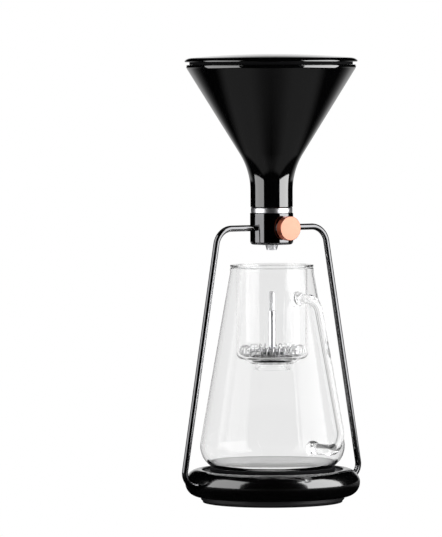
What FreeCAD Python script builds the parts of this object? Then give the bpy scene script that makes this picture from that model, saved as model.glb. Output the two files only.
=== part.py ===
import FreeCAD, Part
import math
import os

import Sketcher
from FreeCAD import Placement, Rotation, Vector

# Cold brew coffee maker: a funnel with a drip valve on a two-rod stand, over a glass carafe that holds a drip
# chamber with a steel filter. Millimetres, +Z up. The origin is the middle of the underside, on the table.
# The rods lie in the XZ plane, and the knob and the carafe's handle point to -Y.

SIZES = {
    # gaps between pieces
    "rest_gap": 0.1,
    "turn_gap": 0.04,
    "push_gap": 0.05,
    "free_gap": 0.4,
    # base: mat, bottom plate and ring
    "mat_inset": 1.6,
    "mat_thickness": 1.2,
    "plate_inset": 1.9,
    "plate_thickness": 3.9,
    "plate_chamfer": 1.4,
    "ring_middle_radius": 62.7,
    "ring_round_radius": 11.4,
    "ring_wall": 2.4,
    "ring_lip_inset": 2.7,
    "ring_flange_inset": 9.7,
    "boss_circle_inset": 6.5,
    "boss_radius": 3.2,
    "boss_height": 7.0,
    "base_screw_radius": 1.5,
    "base_screw_head_radius": 2.8,
    "base_screw_head_height": 1.6,
    "base_screw_length": 8.0,
    # weighing platform and its pad
    "platform_sink": 1.2,
    "platform_thickness": 2.0,
    "platform_skirt_depth": 3.6,
    "platform_skirt_wall": 1.6,
    "platform_edge_rounding": 0.5,
    "pad_inset": 6.6,
    "pad_thickness": 3.2,
    "pad_rounding": 1.0,
    # load cell
    "cell_length": 60.0,
    "cell_width": 12.0,
    "cell_height": 10.0,
    "cell_foot_length": 15.0,
    "cell_foot_height": 3.0,
    "cell_slot_radius": 3.2,
    "cell_slot_spacing": 9.0,
    "cell_screw_radius": 2.0,
    "cell_screw_head_radius": 3.6,
    "cell_screw_head_height": 1.8,
    "cell_screw_reach": 8.0,
    # board, battery, charging socket and power button
    "board_width": 42.0,
    "board_depth": 21.5,
    "board_thickness": 1.6,
    "board_inset": 21.7,
    "standoff_radius": 2.5,
    "standoff_height": 3.4,
    "standoff_inset": 3.8,
    "standoff_back_inset": 6.5,
    "battery_width": 40.0,
    "battery_depth": 24.0,
    "battery_height": 7.0,
    "battery_back": -18.0,
    "socket_width": 9.0,
    "socket_height": 3.3,
    "socket_wall": 0.33,
    "socket_mouth_inset": 1.2,
    "socket_depth": 12.0,
    "button_across": 17.0,
    "button_radius": 3.4,
    "button_flange_radius": 4.4,
    "button_flange_thickness": 0.8,
    "button_proud": 0.9,
    "switch_size": 6.2,
    "switch_depth": 3.4,
    "switch_gap": 0.8,
    # rods
    "rod_radius": 2.6,
    "rod_top_corner": 53.5,
    "rod_foot_overhang": 27.4,
    "rod_top_bend": 15.2,
    "rod_foot_bend": 11.8,
    "rod_top_end": 9.5,
    "rod_foot_inset": 20.7,
    "clamp_length": 10.0,
    "clamp_width": 13.0,
    "clamp_height": 15.6,
    "clamp_screw_radius": 1.5,
    "grub_radius": 1.5,
    "grub_across": 13.6,
    "grub_length": 7.0,
    # valve
    "valve_axis_height": 232.5,
    "valve_radius": 18.25,
    "valve_below_axis": 14.3,
    "valve_above_axis": 12.6,
    "valve_edge_rounding": 2.6,
    "valve_flow_radius": 2.5,
    "plug_radius": 5.5,
    "plug_front": 13.8,
    "plug_back": 9.0,
    "plug_bore_radius": 2.5,
    "plug_ring_place": 6.6,
    "plug_ring_round": 0.6,
    "gland_radius": 7.2,
    "gland_front": 20.4,
    "gland_rim_radius": 8.2,
    "gland_rim_thickness": 1.6,
    "spindle_radius": 3.0,
    "knob_radius": 10.25,
    "knob_thickness": 6.3,
    "knob_face": 29.1,
    "knob_bore_depth": 4.2,
    "knob_edge_rounding": 0.6,
    "knob_screw_radius": 1.2,
    "knob_screw_inset": 0.5,
    "nozzle_top_radius": 5.6,
    "nozzle_tip_radius": 4.3,
    "nozzle_drop": 4.7,
    "nozzle_shank_radius": 3.9,
    "nozzle_shank_length": 5.0,
    "nozzle_bore_radius": 1.6,
    # coupling between valve and funnel
    "collar_radius": 17.6,
    "collar_height": 4.0,
    "collar_bore_radius": 9.0,
    "collar_foot_radius": 12.5,
    "collar_foot_length": 5.0,
    "collar_top_length": 8.0,
    "neck_ring_round": 0.7,
    # funnel
    "neck_radius": 17.9,
    "neck_bore_radius": 12.4,
    "neck_edge_rounding": 1.3,
    "funnel_height": 121.0,
    "funnel_mouth_radius": 73.3,
    "funnel_half_angle": 31.75,
    "funnel_wall": 4.4,
    "funnel_shoulder_bend": 60.0,
    "rim_radius": 71.85,
    "rim_bend": 5.0,
    "rim_rounding": 0.8,
    # lid
    "lid_radius": 73.2,
    "lid_gap": 2.3,
    "lid_edge_height": 0.8,
    "lid_rise": 5.9,
    "lid_dome_bend": 750.0,
    "lid_shoulder_radius": 68.3,
    "lid_edge_bend": 8.1,
    "lid_tip_bend": 1.2,
    "lid_tip_slope": 40.0,
    "lid_wall": 2.8,
    "lid_ring_clearance": 3.7257,
    "lid_ring_wall": 2.2,
    "lid_ring_depth": 5.0,
    "lid_seal_clearance": 0.8,
    "lid_seal_width": 3.9,
    # carafe
    "carafe_height": 168.9,
    "carafe_foot_radius": 50.5,
    "carafe_heel_angle": 30.9,
    "carafe_heel_bend": 20.4,
    "carafe_heel_inner_bend": 12.0,
    "carafe_foot_rounding": 1.5,
    "carafe_taper": 10.1,
    "carafe_mouth_radius": 35.4,
    "carafe_lip_height": 4.1,
    "carafe_lip_bend": 9.0,
    "carafe_wall": 2.2,
    "carafe_floor": 4.2,
    "carafe_rim_rounding": 0.9,
    # handle, a bent glass rod
    "handle_radius": 4.65,
    "handle_top_height": 143.9,
    "handle_foot_height": 19.6,
    "handle_top_reach": 65.8,
    "handle_foot_reach": 104.8,
    "handle_bend": 14.0,
    "handle_blob_radius": 6.4,
    # drip chamber
    "chamber_radius": 30.4,
    "chamber_wall": 1.8,
    "chamber_flange_radius": 35.3,
    "chamber_flange_thickness": 1.8,
    "chamber_depth": 78.3,
    "chamber_corner_bend": 5.6,
    "chamber_floor": 2.2,
    "chamber_well_radius": 17.6,
    "chamber_well_depth": 3.5,
    "chamber_well_slope": 6.5,
    "outlet_radius": 14.7,
    "outlet_wall": 2.0,
    "outlet_drop": 8.9,
    "outlet_lip": 0.7,
    "outlet_lip_height": 1.4,
    "seat_ring_thickness": 0.7,
    "seat_ring_radius": 35.0,
    # filter
    "filter_seal_radius": 17.2,
    "filter_seal_inner_radius": 12.9,
    "filter_seal_thickness": 2.4,
    "mesh_radius": 17.0,
    "mesh_thickness": 0.4,
    "hub_radius": 10.3,
    "hub_top_radius": 8.6,
    "hub_height": 5.3,
    "disc_radius": 21.3,
    "disc_thickness": 0.8,
    "disc_hole_radius": 1.3,
    "disc_hole_circle": 15.4,
    "disc_hole_count": 18,
    "coil_turns": 34,
    "coil_ring_radius": 23.6,
    "coil_turn_radius": 4.4,
    "coil_wire_radius": 0.4,
    "coil_notch_width": 1.5,
    "stem_radius": 2.9,
    "stem_length": 33.1,
    "stem_foot_radius": 2.0,
    "stem_foot_length": 11.4,
    "stem_socket_radius": 1.5,
    "stem_socket_depth": 6.0,
    "grip_radius": 2.45,
    "grip_length": 16.4,
    "grip_chamfer": 0.6,
    "nut_sides": 6,
    "nut_across_flats": 7.0,
    "nut_height": 2.8,
    "washer_radius": 5.4,
    "washer_thickness": 1.0,
}

doc = FreeCAD.newDocument("coffee_maker")
sheet = doc.addObject("Spreadsheet::Sheet", "Sizes")
for row, (alias, number) in enumerate(SIZES.items(), 1):
    sheet.set(f"A{row}", alias)
    sheet.set(f"B{row}", str(number))
    sheet.setAlias(f"B{row}", alias)
doc.recompute()


class Size:
    """A number together with the expression that gives it, so that a feature can be bound to it."""

    def __init__(self, value, text):
        self.value = value
        self.text = text

    def __add__(self, other):
        other = as_size(other)
        return Size(self.value + other.value, f"({self.text} + {other.text})")

    def __sub__(self, other):
        other = as_size(other)
        return Size(self.value - other.value, f"({self.text} - {other.text})")

    def __mul__(self, other):
        other = as_size(other)
        return Size(self.value * other.value, f"({self.text} * {other.text})")

    def __truediv__(self, other):
        other = as_size(other)
        return Size(self.value / other.value, f"({self.text} / {other.text})")

    def __radd__(self, other):
        return as_size(other) + self

    def __rsub__(self, other):
        return as_size(other) - self

    def __rmul__(self, other):
        return as_size(other) * self

    def __neg__(self):
        return as_size(0) - self


def as_size(number):
    if isinstance(number, Size):
        return number
    return Size(float(number), f"({float(number)})")


def size(alias):
    return Size(float(sheet.get(alias)), f"Sizes.{alias}")


def root(number):
    return Size(math.sqrt(number.value), f"sqrt({number.text})")


def sine(angle):
    return Size(math.sin(math.radians(angle.value)), f"sin({angle.text})")


def cosine(angle):
    return Size(math.cos(math.radians(angle.value)), f"cos({angle.text})")


def tangent(angle):
    return Size(math.tan(math.radians(angle.value)), f"tan({angle.text})")


# Outlines: closed sketches of lines and arcs, with every corner bound to the sheet

def corner(across, up, rounding=None, arc=None, large=False):
    """One corner of an outline. rounding rounds it off. arc is the radius of the edge that arrives here, with
    its centre to the left of the way, or to the right where it is negative. large takes the longer way round.
    """
    return {
        "at": (as_size(across), as_size(up)),
        "rounding": None if rounding is None else as_size(rounding),
        "arc": None if arc is None else as_size(arc),
        "large": large,
    }


def bind(sketch, constraint, number):
    index = sketch.addConstraint(constraint)
    if "Sizes." in number.text:
        sketch.setExpression(f"Constraints[{index}]", number.text)


def bind_point(sketch, geometry, position, at):
    bind(sketch, Sketcher.Constraint("DistanceX", -1, 1, geometry, position, at[0].value), at[0])
    bind(sketch, Sketcher.Constraint("DistanceY", -1, 1, geometry, position, at[1].value), at[1])


def add_arc(sketch, start, end, centre, leftward):
    """Adds an arc and returns its number and the positions of its start and end along the way."""
    first, last = (start, end) if leftward else (end, start)
    first_angle = math.atan2(first.y - centre.y, first.x - centre.x)
    last_angle = math.atan2(last.y - centre.y, last.x - centre.x)
    circle = Part.Circle(centre, Vector(0, 0, 1), (start - centre).Length)
    geometry = sketch.addGeometry(Part.ArcOfCircle(circle, first_angle, last_angle), False)
    return (geometry, 1, 2) if leftward else (geometry, 2, 1)


def draw(sketch, corners):
    count = len(corners)
    points = [Vector(c["at"][0].value, c["at"][1].value, 0) for c in corners]
    arrive, leave, middles = list(points), list(points), {}
    for i, c in enumerate(corners):
        if c["rounding"] is None:
            continue
        back = (points[i - 1] - points[i]).normalize()
        ahead = (points[(i + 1) % count] - points[i]).normalize()
        half = back.getAngle(ahead) / 2
        reach = c["rounding"].value / math.tan(half)
        arrive[i] = points[i] + back * reach
        leave[i] = points[i] + ahead * reach
        inward = (back + ahead).normalize()
        middles[i] = points[i] + inward * (c["rounding"].value / math.sin(half))
    edges = []
    for i in range(count):
        start, target = leave[i], corners[(i + 1) % count]
        end = arrive[(i + 1) % count]
        if target["arc"] is None:
            edges.append((sketch.addGeometry(Part.LineSegment(start, end), False), 1, 2))
            continue
        radius = target["arc"].value
        way = end - start
        rise = math.sqrt(max(radius ** 2 - (way.Length / 2) ** 2, 0))
        side = Vector(-way.y, way.x, 0).normalize() * math.copysign(rise, radius)
        centre = (start + end) * 0.5 + (side * -1 if target["large"] else side)
        edges.append(add_arc(sketch, start, end, centre, radius > 0))
    for i, c in enumerate(corners):
        before, after = edges[i - 1], edges[i]
        if c["rounding"] is None:
            sketch.addConstraint(Sketcher.Constraint("Coincident", before[0], before[2], after[0], after[1]))
            bind_point(sketch, after[0], after[1], c["at"])
            continue
        point = sketch.addGeometry(Part.Point(points[i]), True)
        bind_point(sketch, point, 1, c["at"])
        sketch.addConstraint(Sketcher.Constraint("PointOnObject", point, 1, before[0]))
        sketch.addConstraint(Sketcher.Constraint("PointOnObject", point, 1, after[0]))
        turn = (points[i] - points[i - 1]).cross(points[(i + 1) % count] - points[i]).z
        bend = add_arc(sketch, arrive[i], leave[i], middles[i], turn > 0)
        sketch.addConstraint(Sketcher.Constraint("Tangent", before[0], before[2], bend[0], bend[1]))
        sketch.addConstraint(Sketcher.Constraint("Tangent", bend[0], bend[2], after[0], after[1]))
        bind(sketch, Sketcher.Constraint("Radius", bend[0], c["rounding"].value), c["rounding"])
    for i in range(count):
        radius = corners[(i + 1) % count]["arc"]
        if radius is not None:
            plain = radius if radius.value > 0 else -radius
            bind(sketch, Sketcher.Constraint("Radius", edges[i][0], plain.value), plain)
    if sketch.solve() != 0:
        raise RuntimeError(f"{sketch.Label}: the outline does not solve")


# Bodies and primitives

pieces = []


def keep(node, thing):
    """Names a finished piece after its node."""
    thing.Label = node
    pieces.append(thing)
    return thing


def new_sketch(body, role, name, height=None):
    sketch = body.newObject("Sketcher::SketchObject", name)
    plane = next(feature for feature in body.Origin.OriginFeatures if feature.Role == role)
    sketch.AttachmentSupport = [(plane, "")]
    sketch.MapMode = "FlatFace"
    if height is not None:
        height = as_size(height)
        sketch.AttachmentOffset = Placement(Vector(0, 0, height.value), Rotation())
        sketch.setExpression("AttachmentOffset.Base.z", height.text)
    return sketch


def turned(name, corners):
    """A solid turned about Z from an outline of radius and height."""
    body = doc.addObject("PartDesign::Body", name)
    sketch = new_sketch(body, "XZ_Plane", f"{name}_outline")
    draw(sketch, corners)
    turn = body.newObject("PartDesign::Revolution", f"{name}_turn")
    turn.Profile = sketch
    turn.ReferenceAxis = (sketch, ["V_Axis"])
    turn.Angle = 360
    sketch.Visibility = False
    return body


def padded(name, corners, height, thickness):
    """A solid drawn from above, from one height up."""
    body = doc.addObject("PartDesign::Body", name)
    sketch = new_sketch(body, "XY_Plane", f"{name}_outline", height)
    draw(sketch, corners)
    pad = body.newObject("PartDesign::Pad", f"{name}_pad")
    pad.Profile = sketch
    pad.setExpression("Length", as_size(thickness).text)
    return body


TURNS = {
    "x": Rotation(Vector(0, 1, 0), 90),
    "y": Rotation(Vector(1, 0, 0), -90),
    "z": Rotation(),
}


def place(thing, x, y, z, along="z"):
    thing.Placement = Placement(Vector(), TURNS[along])
    for axis, number in zip("xyz", (x, y, z)):
        thing.setExpression(f"Placement.Base.{axis}", as_size(number).text)
    return thing


def cylinder(name, radius, length, x, y, z, along="z"):
    """A cylinder that starts at x, y, z and runs along one axis."""
    thing = doc.addObject("Part::Cylinder", name)
    thing.setExpression("Radius", as_size(radius).text)
    thing.setExpression("Height", as_size(length).text)
    return place(thing, x, y, z, along)


def cone(name, low_radius, high_radius, length, x, y, z, along="z"):
    thing = doc.addObject("Part::Cone", name)
    thing.setExpression("Radius1", as_size(low_radius).text)
    thing.setExpression("Radius2", as_size(high_radius).text)
    thing.setExpression("Height", as_size(length).text)
    return place(thing, x, y, z, along)


def block(name, length, width, height, x, y, z):
    """A block whose lowest corner is at x, y, z."""
    thing = doc.addObject("Part::Box", name)
    thing.setExpression("Length", as_size(length).text)
    thing.setExpression("Width", as_size(width).text)
    thing.setExpression("Height", as_size(height).text)
    return place(thing, x, y, z)


def ring(name, middle_radius, round_radius, x, y, z, along="z"):
    thing = doc.addObject("Part::Torus", name)
    thing.setExpression("Radius1", as_size(middle_radius).text)
    thing.setExpression("Radius2", as_size(round_radius).text)
    return place(thing, x, y, z, along)


def ball(name, radius, x, y, z):
    thing = doc.addObject("Part::Sphere", name)
    thing.setExpression("Radius", as_size(radius).text)
    return place(thing, x, y, z)


def joined(name, *things):
    fuse = doc.addObject("Part::MultiFuse", name)
    fuse.Shapes = list(things)
    return fuse


def cut(name, base, *tools):
    thing = doc.addObject("Part::Cut", name)
    thing.Base = base
    thing.Tool = tools[0] if len(tools) == 1 else joined(f"{name}_tools", *tools)
    return thing


def group(name, *things):
    """Like pieces that stay separate solids of one node."""
    compound = doc.addObject("Part::Compound", name)
    compound.Links = list(things)
    return compound


def around(count, radius, first_angle):
    """Places evenly spaced on a circle about Z."""
    for number in range(count):
        angle = as_size(first_angle + 360 * number / count)
        yield number, radius * cosine(angle), radius * sine(angle)


# Heights and distances that several pieces share

rest_gap, turn_gap, push_gap = size("rest_gap"), size("turn_gap"), size("push_gap")
plate_top = size("mat_thickness") + size("plate_thickness")
ring_height = plate_top + size("ring_round_radius")
ring_middle_radius = size("ring_middle_radius")
ring_lip_radius = ring_middle_radius - size("ring_lip_inset")
ring_reach = ring_lip_radius - ring_middle_radius
platform_radius = ring_lip_radius - size("free_gap")
plate_radius = ring_middle_radius - size("plate_inset")
mat_radius = plate_radius - size("mat_inset")
board_front = ring_middle_radius - size("board_inset")
rod_foot_end = ring_middle_radius - size("rod_foot_inset")
ring_top = ring_height + root(size("ring_round_radius") * size("ring_round_radius") - ring_reach * ring_reach)
platform_top = ring_top - size("platform_sink")
platform_bottom = platform_top - size("platform_thickness")
pad_top = platform_top + size("pad_thickness")
valve_axis = size("valve_axis_height")
valve_bottom = valve_axis - size("valve_below_axis")
valve_top = valve_axis + size("valve_above_axis")
collar_bottom = valve_top + rest_gap
funnel_bottom = collar_bottom + size("collar_height")
rim_top = funnel_bottom + size("funnel_height")
carafe_bottom = pad_top + rest_gap
carafe_top = carafe_bottom + size("carafe_height")
flange_bottom = carafe_top + rest_gap + size("seat_ring_thickness")
chamber_top = flange_bottom + size("chamber_flange_thickness")
chamber_bottom = flange_bottom - size("chamber_depth")
well_top = chamber_bottom + size("chamber_floor") - size("chamber_well_depth")
seal_top = well_top + rest_gap + size("filter_seal_thickness")
mesh_top = seal_top + size("mesh_thickness")
disc_bottom = mesh_top + size("hub_height")
disc_top = disc_bottom + size("disc_thickness")
coil_height = disc_bottom + size("disc_thickness") / 2
stem_top = disc_top + size("stem_length")


# Base

def make_mat():
    """Soft disc glued under the bottom plate, over the heads of its screws."""
    keep("foot_mat", turned("mat", [
        corner(0, 0),
        corner(mat_radius, 0),
        corner(mat_radius, size("mat_thickness")),
        corner(0, size("mat_thickness")),
    ]))


def base_screw_places():
    return list(around(4, ring_middle_radius - size("boss_circle_inset"), 45))


def cell_screw_places(side):
    """The two screws at one end of the load cell: side is -1 for the fixed end and 1 for the free end."""
    middle = (size("cell_length") - size("cell_foot_length")) / 2
    half = size("cell_slot_spacing") / 4
    return [side * (middle - half), side * (middle + half)]


def clamp_middle():
    return rod_foot_end + size("clamp_length") / 2


def countersunk(name, x, y, low, radius, head_radius, head_height, length):
    """A screw that points up, with its flat head at the height low."""
    head = cone(f"{name}_head", head_radius, radius, head_height, x, y, low)
    shank = cylinder(f"{name}_shank", radius, length - head_height, x, y, low + head_height)
    return joined(name, head, shank)


def make_bottom_plate():
    """Heavy steel disc that closes the ring from below and carries everything in the base."""
    disc = turned("plate", [
        corner(0, size("mat_thickness")),
        corner(plate_radius - size("plate_chamfer"), size("mat_thickness")),
        corner(plate_radius, size("mat_thickness") + size("plate_chamfer")),
        corner(plate_radius, plate_top),
        corner(0, plate_top),
    ])
    holes = []
    for number, x, y in base_screw_places():
        holes.append(countersunk(
            f"plate_hole_{number}", x, y, size("mat_thickness"), size("base_screw_radius") + push_gap,
            size("base_screw_head_radius") + push_gap, size("base_screw_head_height"),
            size("plate_thickness"),
        ))
    for number, x in enumerate(cell_screw_places(-1)):
        holes.append(countersunk(
            f"plate_cell_hole_{number}", x, as_size(0), size("mat_thickness"),
            size("cell_screw_radius") + push_gap, size("cell_screw_head_radius") + push_gap,
            size("cell_screw_head_height"), size("plate_thickness"),
        ))
    for number, side in enumerate((-1, 1)):
        holes.append(countersunk(
            f"plate_clamp_hole_{number}", side * clamp_middle(), as_size(0), size("mat_thickness"),
            size("clamp_screw_radius") + push_gap, size("base_screw_head_radius") + push_gap,
            size("base_screw_head_height"), size("plate_thickness"),
        ))
    keep("bottom_plate", cut("plate_cut", disc, *holes))


def make_base_screws():
    screws = []
    for number, x, y in base_screw_places():
        screws.append(countersunk(
            f"base_screw_{number}", x, y, size("mat_thickness"), size("base_screw_radius"),
            size("base_screw_head_radius"), size("base_screw_head_height"), size("base_screw_length"),
        ))
    keep("base_screws", group("base_screw_group", *screws))


def make_base_shell():
    """Glossy ring with a round section, open to the inside, with a flange for the bottom plate's screws."""
    outer, wall = size("ring_round_radius"), size("ring_wall")
    inner = outer - wall
    lip_low = ring_height + root(inner * inner - ring_reach * ring_reach)
    flange_radius = ring_middle_radius - size("ring_flange_inset")
    shell = turned("ring", [
        corner(flange_radius, plate_top),
        corner(ring_middle_radius, plate_top),
        corner(ring_lip_radius, ring_top, arc=outer, large=True),
        corner(ring_lip_radius, lip_low),
        corner(ring_middle_radius, plate_top + wall, arc=-inner, large=True),
        corner(flange_radius, plate_top + wall),
    ])
    parts, holes = [shell], []
    for number, x, y in base_screw_places():
        boss_bottom = plate_top + wall / 2
        boss_length = size("boss_height") - wall / 2
        parts.append(cylinder(f"boss_{number}", size("boss_radius"), boss_length, x, y, boss_bottom))
        holes.append(cylinder(
            f"boss_hole_{number}", size("base_screw_radius") + push_gap, size("boss_height"), x, y, plate_top,
        ))
    outside = ring_middle_radius + outer
    for number, side in enumerate((-1, 1)):
        start = ring_middle_radius if side > 0 else -(outside + outer)
        holes.append(cylinder(
            f"rod_hole_{number}", size("rod_radius") + push_gap, outer * 2, start, 0, ring_height, "x",
        ))
    holes.append(block(
        "socket_hole", size("socket_width") + 2 * push_gap, outer * 2, size("socket_height") + 2 * push_gap,
        -(size("socket_width") / 2 + push_gap), ring_middle_radius, board_top() - push_gap,
    ))
    holes.append(cylinder(
        "button_hole", size("button_radius") + rest_gap, outer * 2, size("button_across"),
        ring_middle_radius, button_height(), "y",
    ))
    keep("base_shell", cut("ring_cut", joined("ring_with_bosses", *parts), *holes))


def make_platform():
    """Dark pan that floats inside the ring on the load cell, with two screws hidden under the pad."""
    low = platform_bottom - size("platform_skirt_depth")
    inside = platform_radius - size("platform_skirt_wall")
    pan = turned("pan", [
        corner(0, platform_bottom),
        corner(inside, platform_bottom),
        corner(inside, low),
        corner(platform_radius, low),
        corner(platform_radius, platform_top, rounding=size("platform_edge_rounding")),
        corner(0, platform_top),
    ])
    holes = []
    for number, x in enumerate(cell_screw_places(1)):
        holes.append(platform_screw(f"pan_hole_{number}", x, push_gap))
    keep("scale_platform", cut("pan_cut", pan, *holes))


def platform_screw(name, x, extra):
    """A screw that points down, with its flat head flush with the top of the platform."""
    head_height = size("cell_screw_head_height")
    length = size("platform_thickness") + size("cell_foot_height") * 2 + size("cell_height") / 2
    head = cone(
        f"{name}_head", size("cell_screw_radius") + extra, size("cell_screw_head_radius") + extra,
        head_height, x, 0, platform_top - head_height,
    )
    shank = cylinder(
        f"{name}_shank", size("cell_screw_radius") + extra, length - head_height, x, 0, platform_top - length,
    )
    return joined(name, head, shank)


def make_pad():
    """Soft dark pad that the carafe stands on. It is higher than the ring, so the carafe slides out level."""
    radius = platform_radius - size("pad_inset")
    keep("platform_pad", turned("pad", [
        corner(0, platform_top),
        corner(radius, platform_top),
        corner(radius, pad_top, rounding=size("pad_rounding")),
        corner(0, pad_top),
    ]))


def cell_bottom():
    return plate_top + size("cell_foot_height")


def cell_top():
    return cell_bottom() + size("cell_height")


def make_load_cell():
    """Aluminium bending beam with the two joined holes that let it flex, and a spacer at each end."""
    length, width, height = size("cell_length"), size("cell_width"), size("cell_height")
    beam = block("beam", length, width, height, -length / 2, -width / 2, cell_bottom())
    middle = cell_bottom() + height / 2
    half = size("cell_slot_spacing") / 2
    radius = size("cell_slot_radius")
    holes = [
        cylinder("beam_slot_left", radius, width, -half, -width / 2, middle, "y"),
        cylinder("beam_slot_right", radius, width, half, -width / 2, middle, "y"),
        block("beam_slot_middle", half * 2, width, radius, -half, -width / 2, middle - radius / 2),
    ]
    for number, x in enumerate(cell_screw_places(-1)):
        holes.append(cylinder(
            f"beam_hole_low_{number}", size("cell_screw_radius") + push_gap, height, x, 0, cell_bottom(),
        ))
    for number, x in enumerate(cell_screw_places(1)):
        holes.append(cylinder(
            f"beam_hole_high_{number}", size("cell_screw_radius") + push_gap, height, x, 0, cell_bottom(),
        ))
    keep("load_cell", cut("beam_cut", beam, *holes))


def make_cell_spacers():
    foot, width = size("cell_foot_length"), size("cell_width")
    low = block(
        "spacer_low", foot, width, size("cell_foot_height"), -size("cell_length") / 2, -width / 2, plate_top,
    )
    high = block(
        "spacer_high", foot, width, platform_bottom - cell_top(), size("cell_length") / 2 - foot,
        -width / 2, cell_top(),
    )
    low_holes = [
        cylinder(
            f"spacer_low_hole_{number}", size("cell_screw_radius") + push_gap, size("cell_foot_height"), x, 0,
            plate_top,
        ) for number, x in enumerate(cell_screw_places(-1))
    ]
    high_holes = [
        cylinder(
            f"spacer_high_hole_{number}", size("cell_screw_radius") + push_gap, platform_bottom - cell_top(),
            x, 0, cell_top(),
        ) for number, x in enumerate(cell_screw_places(1))
    ]
    keep("cell_spacers", group(
        "spacer_group", cut("spacer_low_cut", low, *low_holes), cut("spacer_high_cut", high, *high_holes),
    ))


def make_cell_screws():
    length = size("plate_thickness") + size("cell_foot_height") + size("cell_screw_reach")
    low = [
        countersunk(
            f"cell_screw_{number}", x, as_size(0), size("mat_thickness"), size("cell_screw_radius"),
            size("cell_screw_head_radius"), size("cell_screw_head_height"), length,
        ) for number, x in enumerate(cell_screw_places(-1))
    ]
    high = [
        platform_screw(f"platform_screw_{number}", x, as_size(0))
        for number, x in enumerate(cell_screw_places(1))
    ]
    keep("cell_screws", group("cell_screw_group", *low, *high))


def board_top():
    return plate_top + size("standoff_height") + size("board_thickness")


def make_board():
    """Circuit board of the scale, on two standoffs in front and two short ones on the ring's flange."""
    board = block(
        "board", size("board_width"), size("board_depth"), size("board_thickness"), -size("board_width") / 2,
        board_front, plate_top + size("standoff_height"),
    )
    keep("circuit_board", board)


def make_standoffs():
    across = size("board_width") / 2 - size("standoff_inset")
    front = board_front + size("standoff_inset")
    back = board_front + size("board_depth") - size("standoff_back_inset")
    flange, height, radius = size("ring_wall"), size("standoff_height"), size("standoff_radius")
    posts = []
    for number, side in enumerate((-1, 1)):
        posts.append(cylinder(f"standoff_front_{number}", radius, height, side * across, front, plate_top))
        posts.append(cylinder(
            f"standoff_back_{number}", radius, height - flange, side * across, back, plate_top + flange,
        ))
    keep("board_standoffs", group("standoff_group", *posts))


def make_battery():
    width, depth = size("battery_width"), size("battery_depth")
    keep("battery", block(
        "battery_pack", width, depth, size("battery_height"), -width / 2, size("battery_back") - depth,
        plate_top,
    ))


def make_charge_socket():
    """Flat metal charging socket at the back of the board, just inside the ring's outer face."""
    width, height, wall = size("socket_width"), size("socket_height"), size("socket_wall")
    drop = ring_height - board_top() - height / 2
    mouth = ring_back(size("ring_round_radius"), drop, as_size(0)) - size("socket_mouth_inset")
    depth = size("socket_depth")
    shell = block("socket_shell", width, depth, height, -width / 2, mouth - depth, board_top())
    inside = block(
        "socket_inside", width - wall * 2, depth - wall * 2, height - wall * 2, wall - width / 2,
        mouth - depth + wall * 2, board_top() + wall,
    )
    keep("charge_socket", cut("socket_cut", shell, inside))


def button_height():
    return board_top() + size("button_flange_radius") + size("free_gap")


def ring_back(round_radius, drop, across):
    """How far back a round face of the ring is, at a drop below its middle and a distance to the side."""
    reach = ring_middle_radius + root(round_radius * round_radius - drop * drop)
    return root(reach * reach - across * across)


def button_inside():
    """The inner face of the button's flange, which clears the ring's inner face at its nearest corner."""
    flange = size("button_flange_radius")
    drop = ring_height - button_height() + flange
    inner = ring_back(size("ring_round_radius") - size("ring_wall"), drop, size("button_across") + flange)
    return inner - size("button_flange_thickness") - size("free_gap")


def make_power_button():
    """Round button that slides through the ring's wall, held in by a flange, in front of its switch."""
    inside = button_inside()
    across, height = size("button_across"), button_height()
    face = ring_back(size("ring_round_radius"), ring_height - height, across) + size("button_proud")
    flange = cylinder(
        "button_flange", size("button_flange_radius"), size("button_flange_thickness"),
        across, inside, height, "y",
    )
    cap = cylinder(
        "button_cap", size("button_radius"), face - inside, across, inside, height, "y",
    )
    keep("power_button", joined("button", flange, cap))


def make_button_switch():
    side, depth = size("switch_size"), size("switch_depth")
    keep("button_switch", block(
        "switch", side, depth, side, size("button_across") - side / 2,
        button_inside() - size("switch_gap") - depth, board_top(),
    ))


def make_rod_clamps():
    """Steel blocks on the bottom plate that take the lower ends of the rods, each with a screw from below."""
    clamps = []
    length, width = size("clamp_length"), size("clamp_width")
    for number, side in enumerate((-1, 1)):
        low_end = rod_foot_end if side > 0 else -(rod_foot_end + length)
        body = block(f"clamp_{number}", length, width, size("clamp_height"), low_end, -width / 2, plate_top)
        bore = cylinder(
            f"clamp_bore_{number}", size("rod_radius") + push_gap, length, low_end, 0, ring_height, "x",
        )
        thread = cylinder(
            f"clamp_thread_{number}", size("clamp_screw_radius") + push_gap, ring_height - plate_top,
            side * clamp_middle(), 0, plate_top,
        )
        clamps.append(cut(f"clamp_cut_{number}", body, bore, thread))
    keep("rod_clamps", group("clamp_group", *clamps))


def make_clamp_screws():
    screws = []
    for number, side in enumerate((-1, 1)):
        screws.append(countersunk(
            f"clamp_screw_{number}", side * clamp_middle(), as_size(0), size("mat_thickness"),
            size("clamp_screw_radius"), size("base_screw_head_radius"), size("base_screw_head_height"),
            ring_height - size("rod_radius") - size("mat_thickness"),
        ))
    keep("clamp_screws", group("clamp_screw_group", *screws))


# Stand rods

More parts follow.
